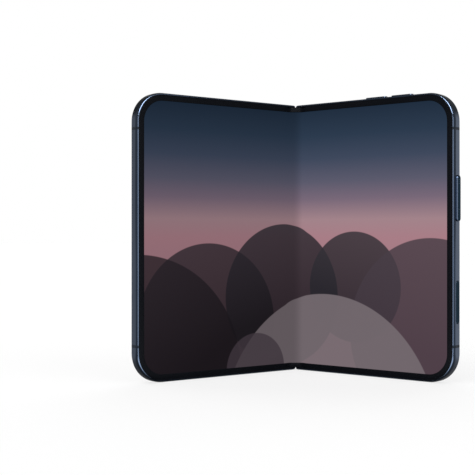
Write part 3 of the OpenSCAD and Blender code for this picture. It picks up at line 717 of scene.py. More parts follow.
class Paint(Nodes):
    """Builds one material."""

    def __init__(self, name: str) -> None:
        """Starts a material with a shader and an output.

        Args:
            name: Name of the finish.
        """
        self.material = bpy.data.materials.new(name)
        self.material.use_nodes = True
        super().__init__(self.material.node_tree)
        self.shader = self.tree.nodes["Principled BSDF"]
        self.coords = self.node("TexCoord").outputs["Object"]

    def set(self, **values: object) -> None:
        """Sets or links the shader's inputs.

        Args:
            **values: Names of inputs with _ for a space, and their values.
        """
        for key, value in values.items():
            self.put(self.shader.inputs[key.replace("_", " ")], value)

    def ramp(self, value: object, stops: Sequence[tuple[float, Colour]]) -> Socket:
        """Adds a colour ramp.

        Args:
            value: Place on the ramp.
            stops: Places and colours.

        Returns:
            The colour.
        """
        made = self.node("ValToRGB", (value,))
        elements = made.color_ramp.elements
        while len(elements) < len(stops):
            elements.new(0.5)
        for element, (place, colour) in zip(elements, stops, strict=True):
            element.position = place
            element.color = (*colour, 1.0)
        return made.outputs[0]

    def stretched(self, scale: Point) -> Socket:
        """Gives the object's coordinates stretched.

        Args:
            scale: Scale along each axis, in turns per metre.

        Returns:
            The coordinates.
        """
        return self.node("Mapping", {"Vector": self.coords, "Scale": scale}).outputs[0]

    def noise(self, scale: float, detail: float = 4.0, rough: float = 0.5,
              coords: Socket | None = None) -> Socket:
        """Adds a noise texture.

        Args:
            scale: Its scale.
            detail: Its octaves.
            rough: How strong the fine octaves are.
            coords: Where it is read, if not at the object's coordinates.

        Returns:
            A value from 0 to 1.
        """
        given = {"Vector": coords or self.coords, "Scale": scale, "Detail": detail,
                 "Roughness": rough}
        return self.node("TexNoise", given).outputs[0]

    def facing(self, blend: float) -> Socket:
        """Gives how far the surface turns from the ray that meets it.

        Args:
            blend: How early the value rises.

        Returns:
            A value from 0 to 1.
        """
        return self.node("LayerWeight", {"Blend": blend}).outputs["Facing"]

    def bump(self, height: object, strength: float, distance: float) -> None:
        """Bumps the shader's surface.

        Args:
            height: Height from 0 to 1.
            strength: Share of the effect.
            distance: Depth in metres.
        """
        given = {"Strength": strength, "Distance": distance, "Height": height}
        self.put(self.shader.inputs["Normal"], self.node("Bump", given).outputs[0])


# ---- Finishes ------------------------------------------------------------------------------------


class Finish(Protocol):
    """What every finish can do."""

    def make(self) -> bpy.types.Material:
        """Builds the material."""


@dataclass(frozen=True)
class Metal:
    """Metal with a fine grain, from polished to brushed.

    Attributes:
        name: Name of the finish.
        colour: Main colour.
        second: Colour that it drifts to.
        rough: Roughness.
        grain: Stretch of the grain along each axis, in turns per metre.
        grain_depth: Depth of the grain in metres.
        drift: Scale of the slow change of colour.
        edge: Tint of what it mirrors at a slant.
    """

    name: str
    colour: Colour
    second: Colour
    rough: float = 0.2
    grain: Point = (900.0, 900.0, 900.0)
    grain_depth: float = 2e-7
    drift: float = 30.0
    edge: Colour = WHITE

    def make(self) -> bpy.types.Material:
        """Builds the material.

        Returns:
            The material.
        """
        paint = Paint(self.name)
        slow = paint.noise(self.drift, 2.0)
        grain = paint.noise(3.0, 5.0, 0.6, paint.stretched(self.grain))
        paint.set(
            Base_Color=paint.mix(paint.span(slow, 0.35, 0.65), self.colour, self.second),
            Metallic=1.0,
            Roughness=paint.span(grain, 0.3, 0.7, self.rough * 0.8, self.rough * 1.25),
            Specular_Tint=self.edge,
        )
        paint.bump(grain, 0.35, self.grain_depth)
        return paint.material


@dataclass(frozen=True)
class Glass:
    """Glossy opaque glass, painted from behind.

    Attributes:
        name: Name of the finish.
        colour: Colour near the top.
        second: Colour near the bottom.
        rough: Roughness.
        gloss: Level of the mirror reflection, where 0.5 is plain glass.
        tall: Height in metres at which the first colour is reached.
    """

    name: str
    colour: Colour
    second: Colour
    rough: float = 0.05
    gloss: float = 0.5
    tall: float = 0.12

    def make(self) -> bpy.types.Material:
        """Builds the material.

        Returns:
            The material.
        """
        paint = Paint(self.name)
        fall = paint.span(paint.split(paint.coords)[2], 0.0, self.tall, 1.0, 0.0, smooth=True)
        cloud = paint.noise(45.0, 3.0)
        shade = paint.mix(fall, self.colour, self.second)
        paint.set(
            Base_Color=paint.mix(paint.span(cloud, 0.2, 0.8, 0.0, 0.12), shade, self.second),
            Roughness=paint.span(cloud, 0.3, 0.7, self.rough * 0.85, self.rough * 1.15),
            Specular_IOR_Level=self.gloss,
        )
        return paint.material


@dataclass(frozen=True)
class BackGlass:
    """Frosted glass of the back, which turns dark and glossy where it rises to the camera bar.

    Attributes:
        name: Name of the finish.
        out: Direction out of the back.
        level: Place of the flat face along that direction, in metres.
        rise: Height of the camera bar's face over it, in metres.
        tall: Height of the phone in metres.
        upper: Colour of the frosted face near the bar.
        lower: Colour near the lower edge.
        bar: Colour of the bar's face.
        frost_depth: Depth of the frosting in metres.
    """

    name: str
    out: Point
    level: float
    rise: float
    tall: float
    upper: Colour = linear(76, 88, 104)
    lower: Colour = linear(46, 56, 71)
    bar: Colour = linear(17, 23, 31)
    frost_depth: float = 1.2e-6

    def make(self) -> bpy.types.Material:
        """Builds the material.

        Returns:
            The material.
        """
        paint = Paint(self.name)
        given = (paint.coords, self.out)
        along = paint.node("VectorMath", given, operation="DOT_PRODUCT").outputs["Value"]
        height = paint.math("SUBTRACT", along, self.level)
        raised = paint.span(height, 0.1 * self.rise, 0.75 * self.rise, smooth=True)
        up = paint.split(paint.coords)[2]
        face = paint.mix(paint.span(up, 0.0, 0.85 * self.tall, smooth=True), self.lower, self.upper)
        cloud = paint.span(paint.noise(40.0, 3.0), 0.2, 0.8, 0.0, 0.15)
        frost = paint.noise(9000.0, 2.0, 0.7)
        paint.set(
            Base_Color=paint.mix(raised, paint.mix(cloud, face, self.lower), self.bar),
            Roughness=paint.span(raised, 0.0, 1.0, 0.42, 0.16),
            Specular_IOR_Level=paint.span(raised, 0.0, 1.0, 0.45, 0.22),
        )
        flat = paint.math("SUBTRACT", 1.0, raised)
        paint.bump(paint.math("MULTIPLY", frost, flat), 0.4, self.frost_depth)
        return paint.material


@dataclass(frozen=True)
class Plastic:
    """Moulded plastic or rubber with a fine texture.

    Attributes:
        name: Name of the finish.
        colour: Main colour.
        second: Colour of the specks.
        rough: Roughness.
        gloss: Level of the mirror reflection.
        texture: Scale of the texture.
        depth: Depth of the texture in metres.
    """

    name: str
    colour: Colour
    second: Colour
    rough: float = 0.5
    gloss: float = 0.5
    texture: float = 2500.0
    depth: float = 2e-6

    def make(self) -> bpy.types.Material:
        """Builds the material.

        Returns:
            The material.
        """
        paint = Paint(self.name)
        pores = paint.noise(self.texture, 3.0, 0.6)
        slow = paint.noise(60.0, 2.0)
        paint.set(
            Base_Color=paint.mix(paint.span(slow, 0.3, 0.7), self.colour, self.second),
            Roughness=paint.span(pores, 0.3, 0.7, self.rough * 0.9, self.rough * 1.1),
            Specular_IOR_Level=self.gloss,
        )
        paint.bump(pores, 0.5, self.depth)
        return paint.material


@dataclass(frozen=True)
class ClearGlass:
    """Dark window with a faint coating that tints its edge.

    Attributes:
        name: Name of the finish.
        clear: Colour of light that passes it head on.
        tint: Colour of light that passes it at a slant.
        bend: How strongly it bends light, low as with a coat against reflections.
    """

    name: str
    clear: Colour
    tint: Colour
    bend: float = 1.18

    def make(self) -> bpy.types.Material:
        """Builds the material.

        Returns:
            The material.
        """
        paint = Paint(self.name)
        slant = paint.span(paint.facing(0.3), 0.2, 1.0)
        paint.set(
            Base_Color=paint.mix(slant, self.clear, self.tint),
            Roughness=paint.span(paint.noise(400.0, 2.0), 0.4, 0.7, 0.0, 0.02),
            Transmission_Weight=1.0,
            IOR=self.bend,
        )
        return paint.material


@dataclass(frozen=True)
class LensGlass:
    """Front lens with a coating that goes from green to violet towards its edge.

    Attributes:
        name: Name of the finish.
        coat: Shares of the way to the edge and their colours.
    """

    name: str = "coated_lens"
    coat: tuple[tuple[float, Colour], ...] = (
        (0.0, (0.004, 0.006, 0.008)),
        (0.35, (0.01, 0.02, 0.03)),
        (0.6, (0.03, 0.02, 0.06)),
        (1.0, (0.01, 0.01, 0.02)),
    )

    def make(self) -> bpy.types.Material:
        """Builds the material.

        Returns:
            The material.
        """
        paint = Paint(self.name)
        paint.set(
            Base_Color=paint.ramp(paint.facing(0.45), self.coat),
            Roughness=paint.span(paint.noise(300.0, 1.0), 0.3, 0.7, 0.02, 0.06),
            Coat_Weight=1.0,
            Coat_Roughness=0.02,
        )
        return paint.material


@dataclass(frozen=True)
class Board:
    """Green board with copper tracks and gold pads.

    Attributes:
        name: Name of the finish.
        greens: Two colours between the tracks and one of the tracks.
        gold: Colour of the pads.
    """

    name: str = "printed_board"
    greens: tuple[Colour, Colour, Colour] = (
        (0.012, 0.06, 0.035), (0.01, 0.045, 0.028), (0.03, 0.12, 0.06),
    )
    gold: Colour = (0.6, 0.42, 0.12)

    def make(self) -> bpy.types.Material:
        """Builds the material.

        Returns:
            The material.
        """
        paint = Paint(self.name)
        given = dict(zip(("Color1", "Color2", "Mortar"), self.greens, strict=True))
        given |= {"Mortar Size": 0.03, "Vector": paint.stretched((600.0, 600.0, 900.0))}
        tracks = paint.node("TexBrick", given, offset=0.5, squash=0.7)
        cells = paint.node("TexVoronoi", {"Vector": paint.stretched((700.0, 700.0, 700.0))})
        pads = paint.span(cells.outputs["Distance"], 0.12, 0.16, 1.0, 0.0)
        paint.set(
            Base_Color=paint.mix(pads, tracks.outputs["Color"], self.gold),
            Metallic=pads,
            Roughness=0.4,
        )
        return paint.material


@dataclass(frozen=True)
class Coil:
    """Copper winding whose turns run round its middle, darkened between the turns by painted shade.

    Attributes:
        name: Name of the finish.
        centre: Middle of the winding, in metres.
        turns: Radians of its wave over a metre.
    """

    name: str
    centre: Point
    turns: float = 9000.0

    def make(self) -> bpy.types.Material:
        """Builds the material.

        Returns:
            The material.
        """
        paint = Paint(self.name)
        given = (paint.coords, self.centre)
        away = paint.node("VectorMath", given, operation="DISTANCE").outputs["Value"]
        wave = paint.math("SINE", paint.math("MULTIPLY", away, self.turns))
        height = paint.span(wave, -1.0, 1.0)
        # Painted shade: the copper is darker in the grooves between the turns and lighter on their
        # crests, following the bump.
        paint.set(
            Base_Color=paint.mix(height, (0.2, 0.07, 0.03), (0.75, 0.34, 0.16)),
            Metallic=1.0,
            Roughness=0.3,
        )
        paint.bump(height, 0.6, 2e-5)
        return paint.material


@dataclass(frozen=True)
class Disc:
    """One soft disc of the screen's picture.

    Attributes:
        across: Place of its middle across the screen, in heights of the screen from the left.
        up: Place of its middle above the lower edge, in heights of the screen.
        radius: Radius in heights of the screen.
        turn: Direction in degrees in which it grows darker, where 0 is to the right.
        light: Colour at its light side.
        dark: Colour at its dark side.
        cover: Share with which it covers what lies behind it.
        edge: Width of its soft edge.
    """

    across: float
    up: float
    radius: float
    turn: float
    light: Colour
    dark: Colour
    cover: float = 0.9
    edge: float = 0.004

    def lay(self, paint: Paint, picture: Socket, across: Socket, up: Socket) -> Socket:
        """Lays the disc over the picture.

        Args:
            paint: The material.
            picture: What lies behind.
            across: Place across the screen.
            up: Place up the screen.

        Returns:
            The picture with the disc.
        """
        x, y = paint.math("SUBTRACT", across, self.across), paint.math("SUBTRACT", up, self.up)
        squares = paint.math("MULTIPLY_ADD", x, x, paint.math("MULTIPLY", y, y))
        away = paint.math("SQRT", squares)
        turn = math.radians(self.turn)
        rise = paint.math("MULTIPLY", y, math.sin(turn))
        along = paint.math("MULTIPLY_ADD", x, math.cos(turn), rise)
        share = paint.span(along, -self.radius, 0.2 * self.radius)
        near, far = self.radius - self.edge, self.radius
        inside = paint.span(away, near, far, self.cover, 0.0, smooth=True)
        return paint.mix(inside, picture, paint.mix(share, self.light, self.dark))


@dataclass(frozen=True)
class LitScreen:
    """Lit screen with a plain picture of its own: an evening gradient with discs that overlap.

    Attributes:
        name: Name of the finish.
        ratio: Width of the picture over its height.
        shade: Share of the picture's light taken off the left half, a painted shade for its turning
            away.
        shade_at: Places across the screen between which that share fades at the fold.
        sky: Places and colours of the gradient, from below.
        discs: The discs, from back to front.
    """

    name: str = "lit_screen"
    ratio: float = 1.411
    shade: float = 0.28
    shade_at: tuple[float, float] = (0.49, 0.53)
    sky: tuple[tuple[float, Colour], ...] = (
        (0.0, linear(150, 112, 124)),
        (0.50, linear(168, 125, 134)),
        (0.57, linear(162, 131, 138)),
        (0.65, linear(120, 104, 120)),
        (0.72, linear(91, 90, 108)),
        (0.81, linear(62, 72, 92)),
        (0.90, linear(43, 58, 77)),
        (1.0, linear(31, 45, 62)),
    )
    discs: tuple[Disc, ...] = (
        Disc(0.64, 0.27, 0.285, -80, linear(54, 50, 57), linear(29, 28, 34), 0.93),
        Disc(1.00, 0.31, 0.215, -100, linear(58, 54, 60), linear(40, 38, 44), 0.93),
        Disc(0.28, 0.17, 0.31, -75, linear(52, 47, 54), linear(29, 26, 30)),
        Disc(1.34, 0.14, 0.36, -105, linear(74, 64, 72), linear(64, 54, 62)),
        Disc(-0.03, -0.02, 0.46, -60, linear(50, 43, 49), linear(27, 23, 27)),
        Disc(0.86, -0.24, 0.52, 110, linear(76, 67, 74), linear(116, 106, 111), 0.9),
        Disc(0.50, -0.01, 0.14, 100, linear(52, 43, 51), linear(70, 60, 68), 0.8),
    )

    def make(self) -> bpy.types.Material:
        """Builds the material.

        Returns:
            The material.
        """
        paint = Paint(self.name)
        uv = paint.split(paint.node("UVMap", uv_map="screen").outputs[0])
        across, up = paint.math("MULTIPLY", uv[0], self.ratio), uv[1]
        picture = paint.ramp(up, self.sky)
        for disc in self.discs:
            picture = disc.lay(paint, picture, across, up)
        # Painted shade: the left half's picture is darkened by that share, fading in across the
        # fold.
        low, high = (place * self.ratio for place in self.shade_at)
        left = paint.span(across, low, high, self.shade, 0.0, smooth=True)
        paint.set(
            Base_Color=(0.002, 0.002, 0.003),
            Roughness=paint.span(paint.noise(6000.0, 1.0), 0.3, 0.7, 0.1, 0.14),
            Specular_IOR_Level=paint.span(paint.facing(0.5), 0.35, 0.9, 0.0, 0.25),
            Emission_Color=paint.mix(left, picture, (0.0, 0.0, 0.0)),
            Emission_Strength=1.0,
        )
        return paint.material


FINISHES: dict[str, Finish] = {
    "frame": Metal("polished_blue_metal", linear(68, 79, 95), linear(64, 75, 92), 0.13),
    "key_face": Metal(
        "dark_key_face", (0.005, 0.011, 0.019), (0.004, 0.009, 0.016), 0.22, edge=(0.62, 0.72, 0.8)
    ),
    "spine": Metal(
        "brushed_spine", linear(52, 62, 84), linear(46, 56, 78), 0.28, (4000.0, 4000.0, 30.0)
    ),
    "steel": Metal(
        "brushed_steel", (0.5, 0.5, 0.52), (0.42, 0.42, 0.45), 0.3, (300.0, 300.0, 3000.0)
    ),
    "screw": Metal("dark_screw", (0.2, 0.2, 0.22), (0.15, 0.15, 0.17), 0.35),
    "bronze": Metal("bearing_bronze", (0.5, 0.33, 0.14), (0.42, 0.27, 0.1), 0.3),
    "contact": Metal("gold_contact", (0.75, 0.5, 0.18), (0.7, 0.45, 0.15), 0.2),
    "can": Metal("stamped_can", (0.55, 0.56, 0.58), (0.48, 0.49, 0.51), 0.38),
    "ring": Metal("black_ring", (0.010, 0.013, 0.019), (0.008, 0.010, 0.015), 0.14),
    "cover_glass": Glass(
        "cover_black_glass", (0.006, 0.007, 0.01), (0.004, 0.005, 0.007), 0.06, 0.25
    ),
    "bezel": Plastic("black_border", linear(20, 22, 27), linear(17, 19, 24), 0.3, 0.02),
    "band": Plastic("antenna_plastic", linear(34, 44, 56), linear(30, 40, 52), 0.4, 0.1),
    "black": Plastic("black_plastic", (0.012, 0.012, 0.014), (0.018, 0.018, 0.02), 0.5),
    "barrel": Plastic("lens_barrel", (0.004, 0.004, 0.005), (0.006, 0.006, 0.008), 0.45, 0.15),
    "pouch": Plastic(
        "battery_pouch", (0.02, 0.02, 0.022), (0.03, 0.03, 0.034), 0.4, 0.5, 1200.0, 6e-6
    ),
    "mesh": Plastic("dark_mesh", (0.01, 0.01, 0.012), (0.03, 0.03, 0.034), 0.6, 0.4, 5000.0, 2e-5),
    "flash": Plastic(
        "flash_diffuser", linear(168, 166, 166), linear(182, 176, 160), 0.2, 0.5, 3000.0, 1e-5
    ),
    "window": ClearGlass("window_glass", (0.42, 0.44, 0.5), (0.16, 0.18, 0.28)),
    "lens": LensGlass(),
    "board": Board(),
    "screen": LitScreen(),
}


# ---- Workshop ------------------------------------------------------------------------------------


class Workshop:
    """Holds the frame, the sizes and the finishes, and sets pieces on their bodies."""
    # The share of the turn at each point is found by halving, so that it equals a smooth step of
    # the turned point's distance from the fold, up to where the bend ends.

    def __init__(self, packed: dict) -> None:
        """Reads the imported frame.
        """
        self.nodes: dict[str, bpy.types.Object] = packed["nodes"]
        self.sizes = PhoneSizes()
        self.fold = Fold.from_frame(packed["joints"], self.sizes.pin_depth)
        self.finishes = dict(FINISHES)
        self._made: dict[str, bpy.types.Material] = {}

    def finish(self, key: str) -> bpy.types.Material:
        """Gives a finish's material, made once.

        Args:
            key: Key of the finish.

        Returns:
            The material.
        """
        if key not in self._made:
            self._made[key] = self.finishes[key].make()
        return self._made[key]

    def dress(self, made: bpy.types.Object, key: str) -> bpy.types.Object:
        """Gives a piece its only material.

        Args:
            made: The piece.
            key: Key of the finish.

        Returns:
            The same piece.
        """
        made.data.materials.clear()
        made.data.materials.append(self.finish(key))
        return made

    def paint_nodes(self, key: str, *nodes: str) -> None:
        """Gives CAD nodes that stay as they are a better finish.

        Args:
            key: Key of the finish.
            *nodes: Names of the nodes.
        """
        for node in nodes:
            for slot in self.nodes[node].material_slots:
                slot.material = self.finish(key)
            LOG.info("kept %s in %s", node, key)

    def declare(self, made: bpy.types.Object, nodes: Sequence[str]) -> bpy.types.Object:
        """Hides the CAD nodes that a piece stands for, and logs it.

        Args:
            made: The piece.
            nodes: CAD nodes that it replaces.

        Returns:
            The piece.
        """
        if nodes:
            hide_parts(*nodes)
        LOG.info("made %s", made.name)
        return made

    def ride(self, made: bpy.types.Object, body: str, slot: str, *nodes: str) -> bpy.types.Object:
        """Sets a piece on its body.

        Args:
            made: The piece.
            body: Body that carries it.
            slot: The record's material slot; not used.
            *nodes: CAD nodes that it replaces.

        Returns:
            The piece.
        """
        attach(made, body)
        return self.declare(made, nodes)

    def bend(self, made: bpy.types.Object, side: Side, start: float, end: float, slot: str,
             *nodes: str) -> bpy.types.Object:
        """Bakes a piece's placing into its mesh and hides the CAD nodes that it replaces.

        Args:
            made: The piece.
            side: The half; not used.
            start: Distance from the fold where it would follow the spine, in millimetres; not used.
            end: Distance where it would follow the half; not used.
            slot: The record's material slot; not used.
            *nodes: CAD nodes that it replaces.

        Returns:
            The piece.
        """
        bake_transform(made)
        return self.declare(made, nodes)

    def skin(self, node: str, key: str, body: str, slot: str) -> bpy.types.Object:
        """Replaces a CAD node by a merged copy with smooth shading.

        Args:
            node: Name of the node.
            key: Key of the finish.
            body: Body that carries it.
            slot: The record's material slot.

        Returns:
            The piece.
        """
        name = f"{node}_skin"
        mesh = self.nodes[node].data.copy()
        mesh.name = name
        mesh.materials.clear()
        tidy(mesh, 32.0)
        made = weighted(self.dress(linked(name, mesh), key))
        return self.ride(made, body, slot, node)

    def stiff(self, shell: Shell, name: str, side: Side, key: str, slot: str, *nodes: str,
              smooth: float = 30.0, even: bool = True) -> bpy.types.Object:
        """Makes a stiff piece of one half.

        Args:
            shell: Its faces.
            name: Name of the piece.
            side: The half.
            key: Key of the finish.
            slot: The record's material slot.
            *nodes: CAD nodes that it replaces.
            smooth: Edges sharper than this angle in degrees stay sharp.
            even: Lets large flat faces keep their own shading.

        Returns:
            The piece.
        """
        made = self.dress(shell.build(name, self.fold.stiff(side), smooth), key)
        if even:
            weighted(made)
        return self.ride(made, side.body, slot, *nodes)


# ---- Sub-assemblies ------------------------------------------------------------------------------


@dataclass
class InnerScreen:
    """The folding screen and the black border over its edge, each in two parts.

    Attributes:
        shop: Frame, sizes and finishes.
        rows: Steps up the phone.
        fine_step: Step across the bending part, in millimetres.
        fine_over: How far the fine steps run on beyond it.
        wide_steps: Steps from there to the corners.
        corner_steps: Steps round a corner.
        gap: Distance that the sheet keeps from the frame.
        top: Height of the border's face.
    """

    shop: Workshop
    rows: int = 60
    fine_step: float = 0.2
    fine_over: float = 2.0
    wide_steps: int = 24
    corner_steps: int = 20
    gap: float = 0.02
    top: float = -0.03

    def columns(self) -> list[float]:
        """Gives the places of the sheet's columns.

        Returns:
            Distances from the fold, from the fold outward.
        """
        s = self.shop.sizes
        r, x1 = s.corner_r - s.screen_edge, s.half_w - s.corner_r
        fine = s.bend_reach + self.fine_over
        arc = np.radians(np.linspace(90, 0, self.corner_steps))
        return [
            *np.arange(0, fine, self.fine_step),
            *np.linspace(fine, x1, self.wide_steps),
            *(x1 + r * math.cos(a) for a in arc[1:-1]),
            s.half_w - s.screen_edge - self.gap,
        ]

    def sheet(self, side: Side) -> None:
        """Makes one half of the screen.

        Args:
            side: Its side.
        """
        s = self.shop.sizes
        inset, r, x1 = s.screen_edge, s.corner_r - s.screen_edge, s.half_w - s.corner_r
        top, back = -s.bezel_t, -s.bezel_t - s.screen_t
        upper, lower = [], []
        for x in self.columns():
            drop = 0.0 if x <= x1 else r - math.sqrt(max(r * r - (x - x1) ** 2, 0.0))
            ys = np.linspace(inset + drop, s.body_h - inset - drop, self.rows)
            upper.append([(x, y, top) for y in ys])
            lower.append([(x, y, back) for y in ys])
        up, low = np.array(upper), np.array(lower)
        shell = Shell()
        shell.grid(up)
        shell.grid(low)
        for edge in (np.s_[0], np.s_[-1], np.s_[:, 0], np.s_[:, -1]):
            shell.grid(np.array([up[edge], low[edge]]))
        made = shell.build(f"screen_{side.word}", self.shop.fold.bent(side, s.bend_reach))
        self.map_picture(made.data, side)
        nodes = [f"inner_screen_{side.word}"] + ["inner_screen_fold"] * (side is Side.RIGHT)
        self.bend(made, side, "screen", "screen", *nodes)

    def bend(self, made: bpy.types.Object, side: Side, key: str, slot: str, *nodes: str) -> None:
        """Dresses a piece, bakes its placing into its mesh and hides the CAD nodes that it
        replaces.

        Args:
            made: The piece.
            side: Its side.
            key: Key of the finish.
            slot: The record's material slot.
            *nodes: CAD nodes that it replaces.
        """
        end = self.shop.fold.bend_end(self.shop.sizes.bend_reach)
        self.shop.bend(self.shop.dress(made, key), side, 0.0, end, slot, *nodes)

    def map_picture(self, mesh: bpy.types.Mesh, side: Side) -> None:
        """Gives the screen its picture coordinates, from its flat shape.

        Args:
            mesh: The screen's mesh.
            side: Its side.
        """
        s = self.shop.sizes
        flat = np.zeros(len(mesh.vertices) * 3, np.float32)
        mesh.attributes["flat_place"].data.foreach_get("vector", flat)
        corner = np.zeros(len(mesh.loops), np.int32)
        mesh.loops.foreach_get("vertex_index", corner)
        margin = s.rim_w + s.bezel_w
        wide, tall = 2 * (s.half_w - margin), s.body_h - 2 * margin
        x, y = flat.reshape(-1, 3)[corner, :2].T
        across, up = 0.5 + side.value * x / wide, (y - margin) / tall
        layer = mesh.uv_layers.new(name="screen")
        layer.data.foreach_set("uv", np.stack([across, up], axis=1).astype(np.float32).ravel())

    def border(self, side: Side) -> None:
        """Makes the soft inner part of the black border, which bends at the fold.

        Args:
            side: Its side.
        """
        s = self.shop.sizes
        low, outer, inner = -s.bezel_t, s.ledge + 0.04, s.rim_w + s.bezel_w
        section = rounded(
            [(outer, low, 0), (inner, low, 0), (inner, self.top, 0.2), (outer, self.top, 0.04)], 5
        )
        shell = sweep(half_path(s, 0.0), section)
        made = shell.build(f"border_{side.word}", self.shop.fold.bent(side, s.bend_reach), 50)
        self.bend(made, side, "bezel", "bezel_rubber", *["fold_bezel"] * (side is Side.RIGHT))

    def border_edge(self, side: Side, start: float = 2.2) -> None:
        """Makes the stiff outer strip of the border, which lies on the frame's ledge.

        Args:
            side: Its side.
            start: Distance from the fold at which it starts.
        """
        s = self.shop.sizes
        low, outer, inner = -s.bezel_t, s.rim_w + 0.05, s.ledge + 0.02
        section = rounded(
            [(outer, low, 0), (inner, low, 0), (inner, self.top, 0.03), (outer, self.top, 0.1)], 4
        )
        self.shop.stiff(
            sweep(half_path(s, start), section), f"border_edge_{side.word}", side, "bezel",
            "bezel_rubber", f"{side.word}_bezel", smooth=50, even=False,
        )

    def build(self) -> None:
        """Builds both halves."""
        for side in Side:
            self.sheet(side)
            self.border(side)
            self.border_edge(side)


@dataclass
class RibbonCable:
    """The cable through the spine, in two parts that bend at the fold.

    It is thin where it passes between the leaning plate and the frame as the phone closes.

    Attributes:
        shop: Frame, sizes and finishes.
        in_half: Points on its way in the flat half, as x, height and thickness.
        in_spine: Points from the bend to the fold, in the spine.
        steps: Steps from one point to the next.
        bend_from: Distance from the fold where it follows the spine, as the phone stands.
        bend_to: Distance where it follows the half.
    """

    shop: Workshop
    in_half: tuple[Point, ...] = (
        (13.7, -2.65, 0.13), (9.0, -2.65, 0.13), (5.6, -2.84, 0.10), (4.95, -2.92, 0.06),
        (4.6, -2.949, 0.06), (3.83, -3.2, 0.06), (3.4, -3.34, 0.06), (3.0, -3.47, 0.06),
        (2.87, -3.495, 0.06),
    )
    in_spine: tuple[Point, ...] = (
        (3.1, -3.45, 0.06), (2.75, -3.58, 0.06), (2.35, -3.65, 0.07), (1.9, -3.69, 0.09),
        (1.2, -3.72, 0.12), (0.0, -3.72, 0.12),
    )
    steps: int = 4
    bend_from: float = 2.0
    bend_to: float = 3.37

    def run(self) -> np.ndarray:
        """Gives the cable's run as the phone stands.

        Returns:
            Rows of x, height and thickness.
        """
        given = np.array(self.in_half)
        flat = np.stack([given[:, 0], np.zeros(len(given)), given[:, 1]], axis=1)
        given[:, :2] = self.shop.fold.turned(flat, self.shop.fold.rest)[:, [0, 2]]
        given = np.vstack([given, self.in_spine])
        at = np.linspace(0, len(given) - 1, (len(given) - 1) * self.steps + 1)
        return np.stack([np.interp(at, range(len(given)), column) for column in given.T], axis=1)

    def build(self) -> None:
        """Builds both parts, as wide as the cable's solid."""
        y0, y1 = (corner.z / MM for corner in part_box("hinge_flex"))
        run = self.run()
        along = np.gradient(run[:, :2], axis=0)
        across = np.stack([-along[:, 1], along[:, 0]], axis=1)
        across /= np.linalg.norm(across, axis=1)[:, None]
        upper = run[:, :2] + across * run[:, 2:] / 2
        lower = run[:, :2] - across * run[:, 2:] / 2
        rows = np.array(
            [[(a, y0, b), (a, y1, b), (c, y1, d), (c, y0, d)]
             for (a, b), (c, d) in zip(lower, upper, strict=True)]
        )
        shell = Shell()
        shell.tube(rows)
        for side in Side:

            def place(flat: np.ndarray, sign: int = side.value) -> np.ndarray:
                """Places the points, which are already folded."""
                return self.shop.fold.stand(flat * np.array([sign, 1, 1]))

            made = self.shop.dress(shell.build(f"ribbon_{side.word}", place, 30), "bronze")
            nodes = ["hinge_flex"] * (side is Side.RIGHT)
            self.shop.bend(made, side, self.bend_from, self.bend_to, "bronze", *nodes)


@dataclass
class Housing:
    """Both frames with their bands, the glass on the back and the spine.

    Attributes:
        shop: Frame, sizes and finishes.
        skins: Nodes, finishes, bodies and the record's material slots.
    """

    shop: Workshop
    skins: tuple[tuple[str, str, str, str], ...] = (
        ("right_frame", "frame", "right_half", "frame_metal"),
        ("left_frame", "frame", "left_half", "frame_metal"),
        ("right_antenna_bands", "band", "right_half", "antenna_plastic"),
        ("left_antenna_bands", "band", "left_half", "antenna_plastic"),
        ("back_glass", "back_glass", "right_half", "back_glass"),
        ("cover_glass", "cover_glass", "left_half", "cover_glass"),
        ("spine_cover", "spine", "spine", "spine_metal"),
        ("spine_end_caps", "spine", "spine", "spine_metal"),
    )

    def back_finish(self) -> BackGlass:
        """Gives the finish of the back, fitted to where it stands.

        Returns:
            The finish.
        """
        s = self.shop.sizes
        flat = np.array([(0.0, 0.0, -s.body_t), (0.0, 0.0, -s.body_t - 1.0)])
        low, high = self.shop.fold.stiff(Side.RIGHT)(flat)
        out = (high - low) / np.linalg.norm(high - low)
        level, rise, tall = float(low @ out), s.bar_h * MM, s.body_h * MM
        return BackGlass("frosted_blue_glass", tuple(out), level, rise, tall)

    def build(self) -> None:
        """Builds the housing from the solids."""
        self.shop.finishes["back_glass"] = self.back_finish()
        for skin in self.skins:
            self.shop.skin(*skin)


class Edge(Enum):
    """Edge that a key sits in; the value is the direction out of it, lying flat."""

    FREE = (1.0, 0.0, 0.0)
    TOP = (0.0, 1.0, 0.0)

    def ring(self, at: Point, height: float, along: np.ndarray, across: np.ndarray) -> np.ndarray:
        """Places a ring of points on a key.

        Args:
            at: Middle of the key at the outer face of the edge.
            height: Height of the ring over that face.
            along: Places along the edge.
            across: Places across it.

        Returns:
            The points in the flat frame.
        """
        out = np.full(len(along), height)
        x, y = (along, out) if self is Edge.TOP else (out, along)
        return np.stack([at[0] + x, at[1] + y, at[2] + across], axis=1)


@dataclass(frozen=True)
class Key:
    """One key.

    Attributes:
        piece: Name of the piece.
        word: What it does, as its node and its body are named.
        edge: The edge that it sits in.
        middle: Place of its middle, from the fold or up from the middle of the free edge.
        length: Its length.
        out: How far it stands out.
        face: Key of its face's finish; its sides are polished like the frame.
        slot: The record's material slot.
    """

    piece: str
    word: str
    edge: Edge
    middle: float
    length: float
    out: float
    face: str
    slot: str

    def at(self, sizes: PhoneSizes) -> Point:
        """Gives its middle at the outer face of the edge, in the flat frame.

        Args:
            sizes: Sizes of the phone.

        Returns:
            The point.
        """
        if self.edge is Edge.TOP:
            return self.middle, sizes.body_h, sizes.button_z
        return sizes.half_w, sizes.body_h / 2 + self.middle, sizes.button_z


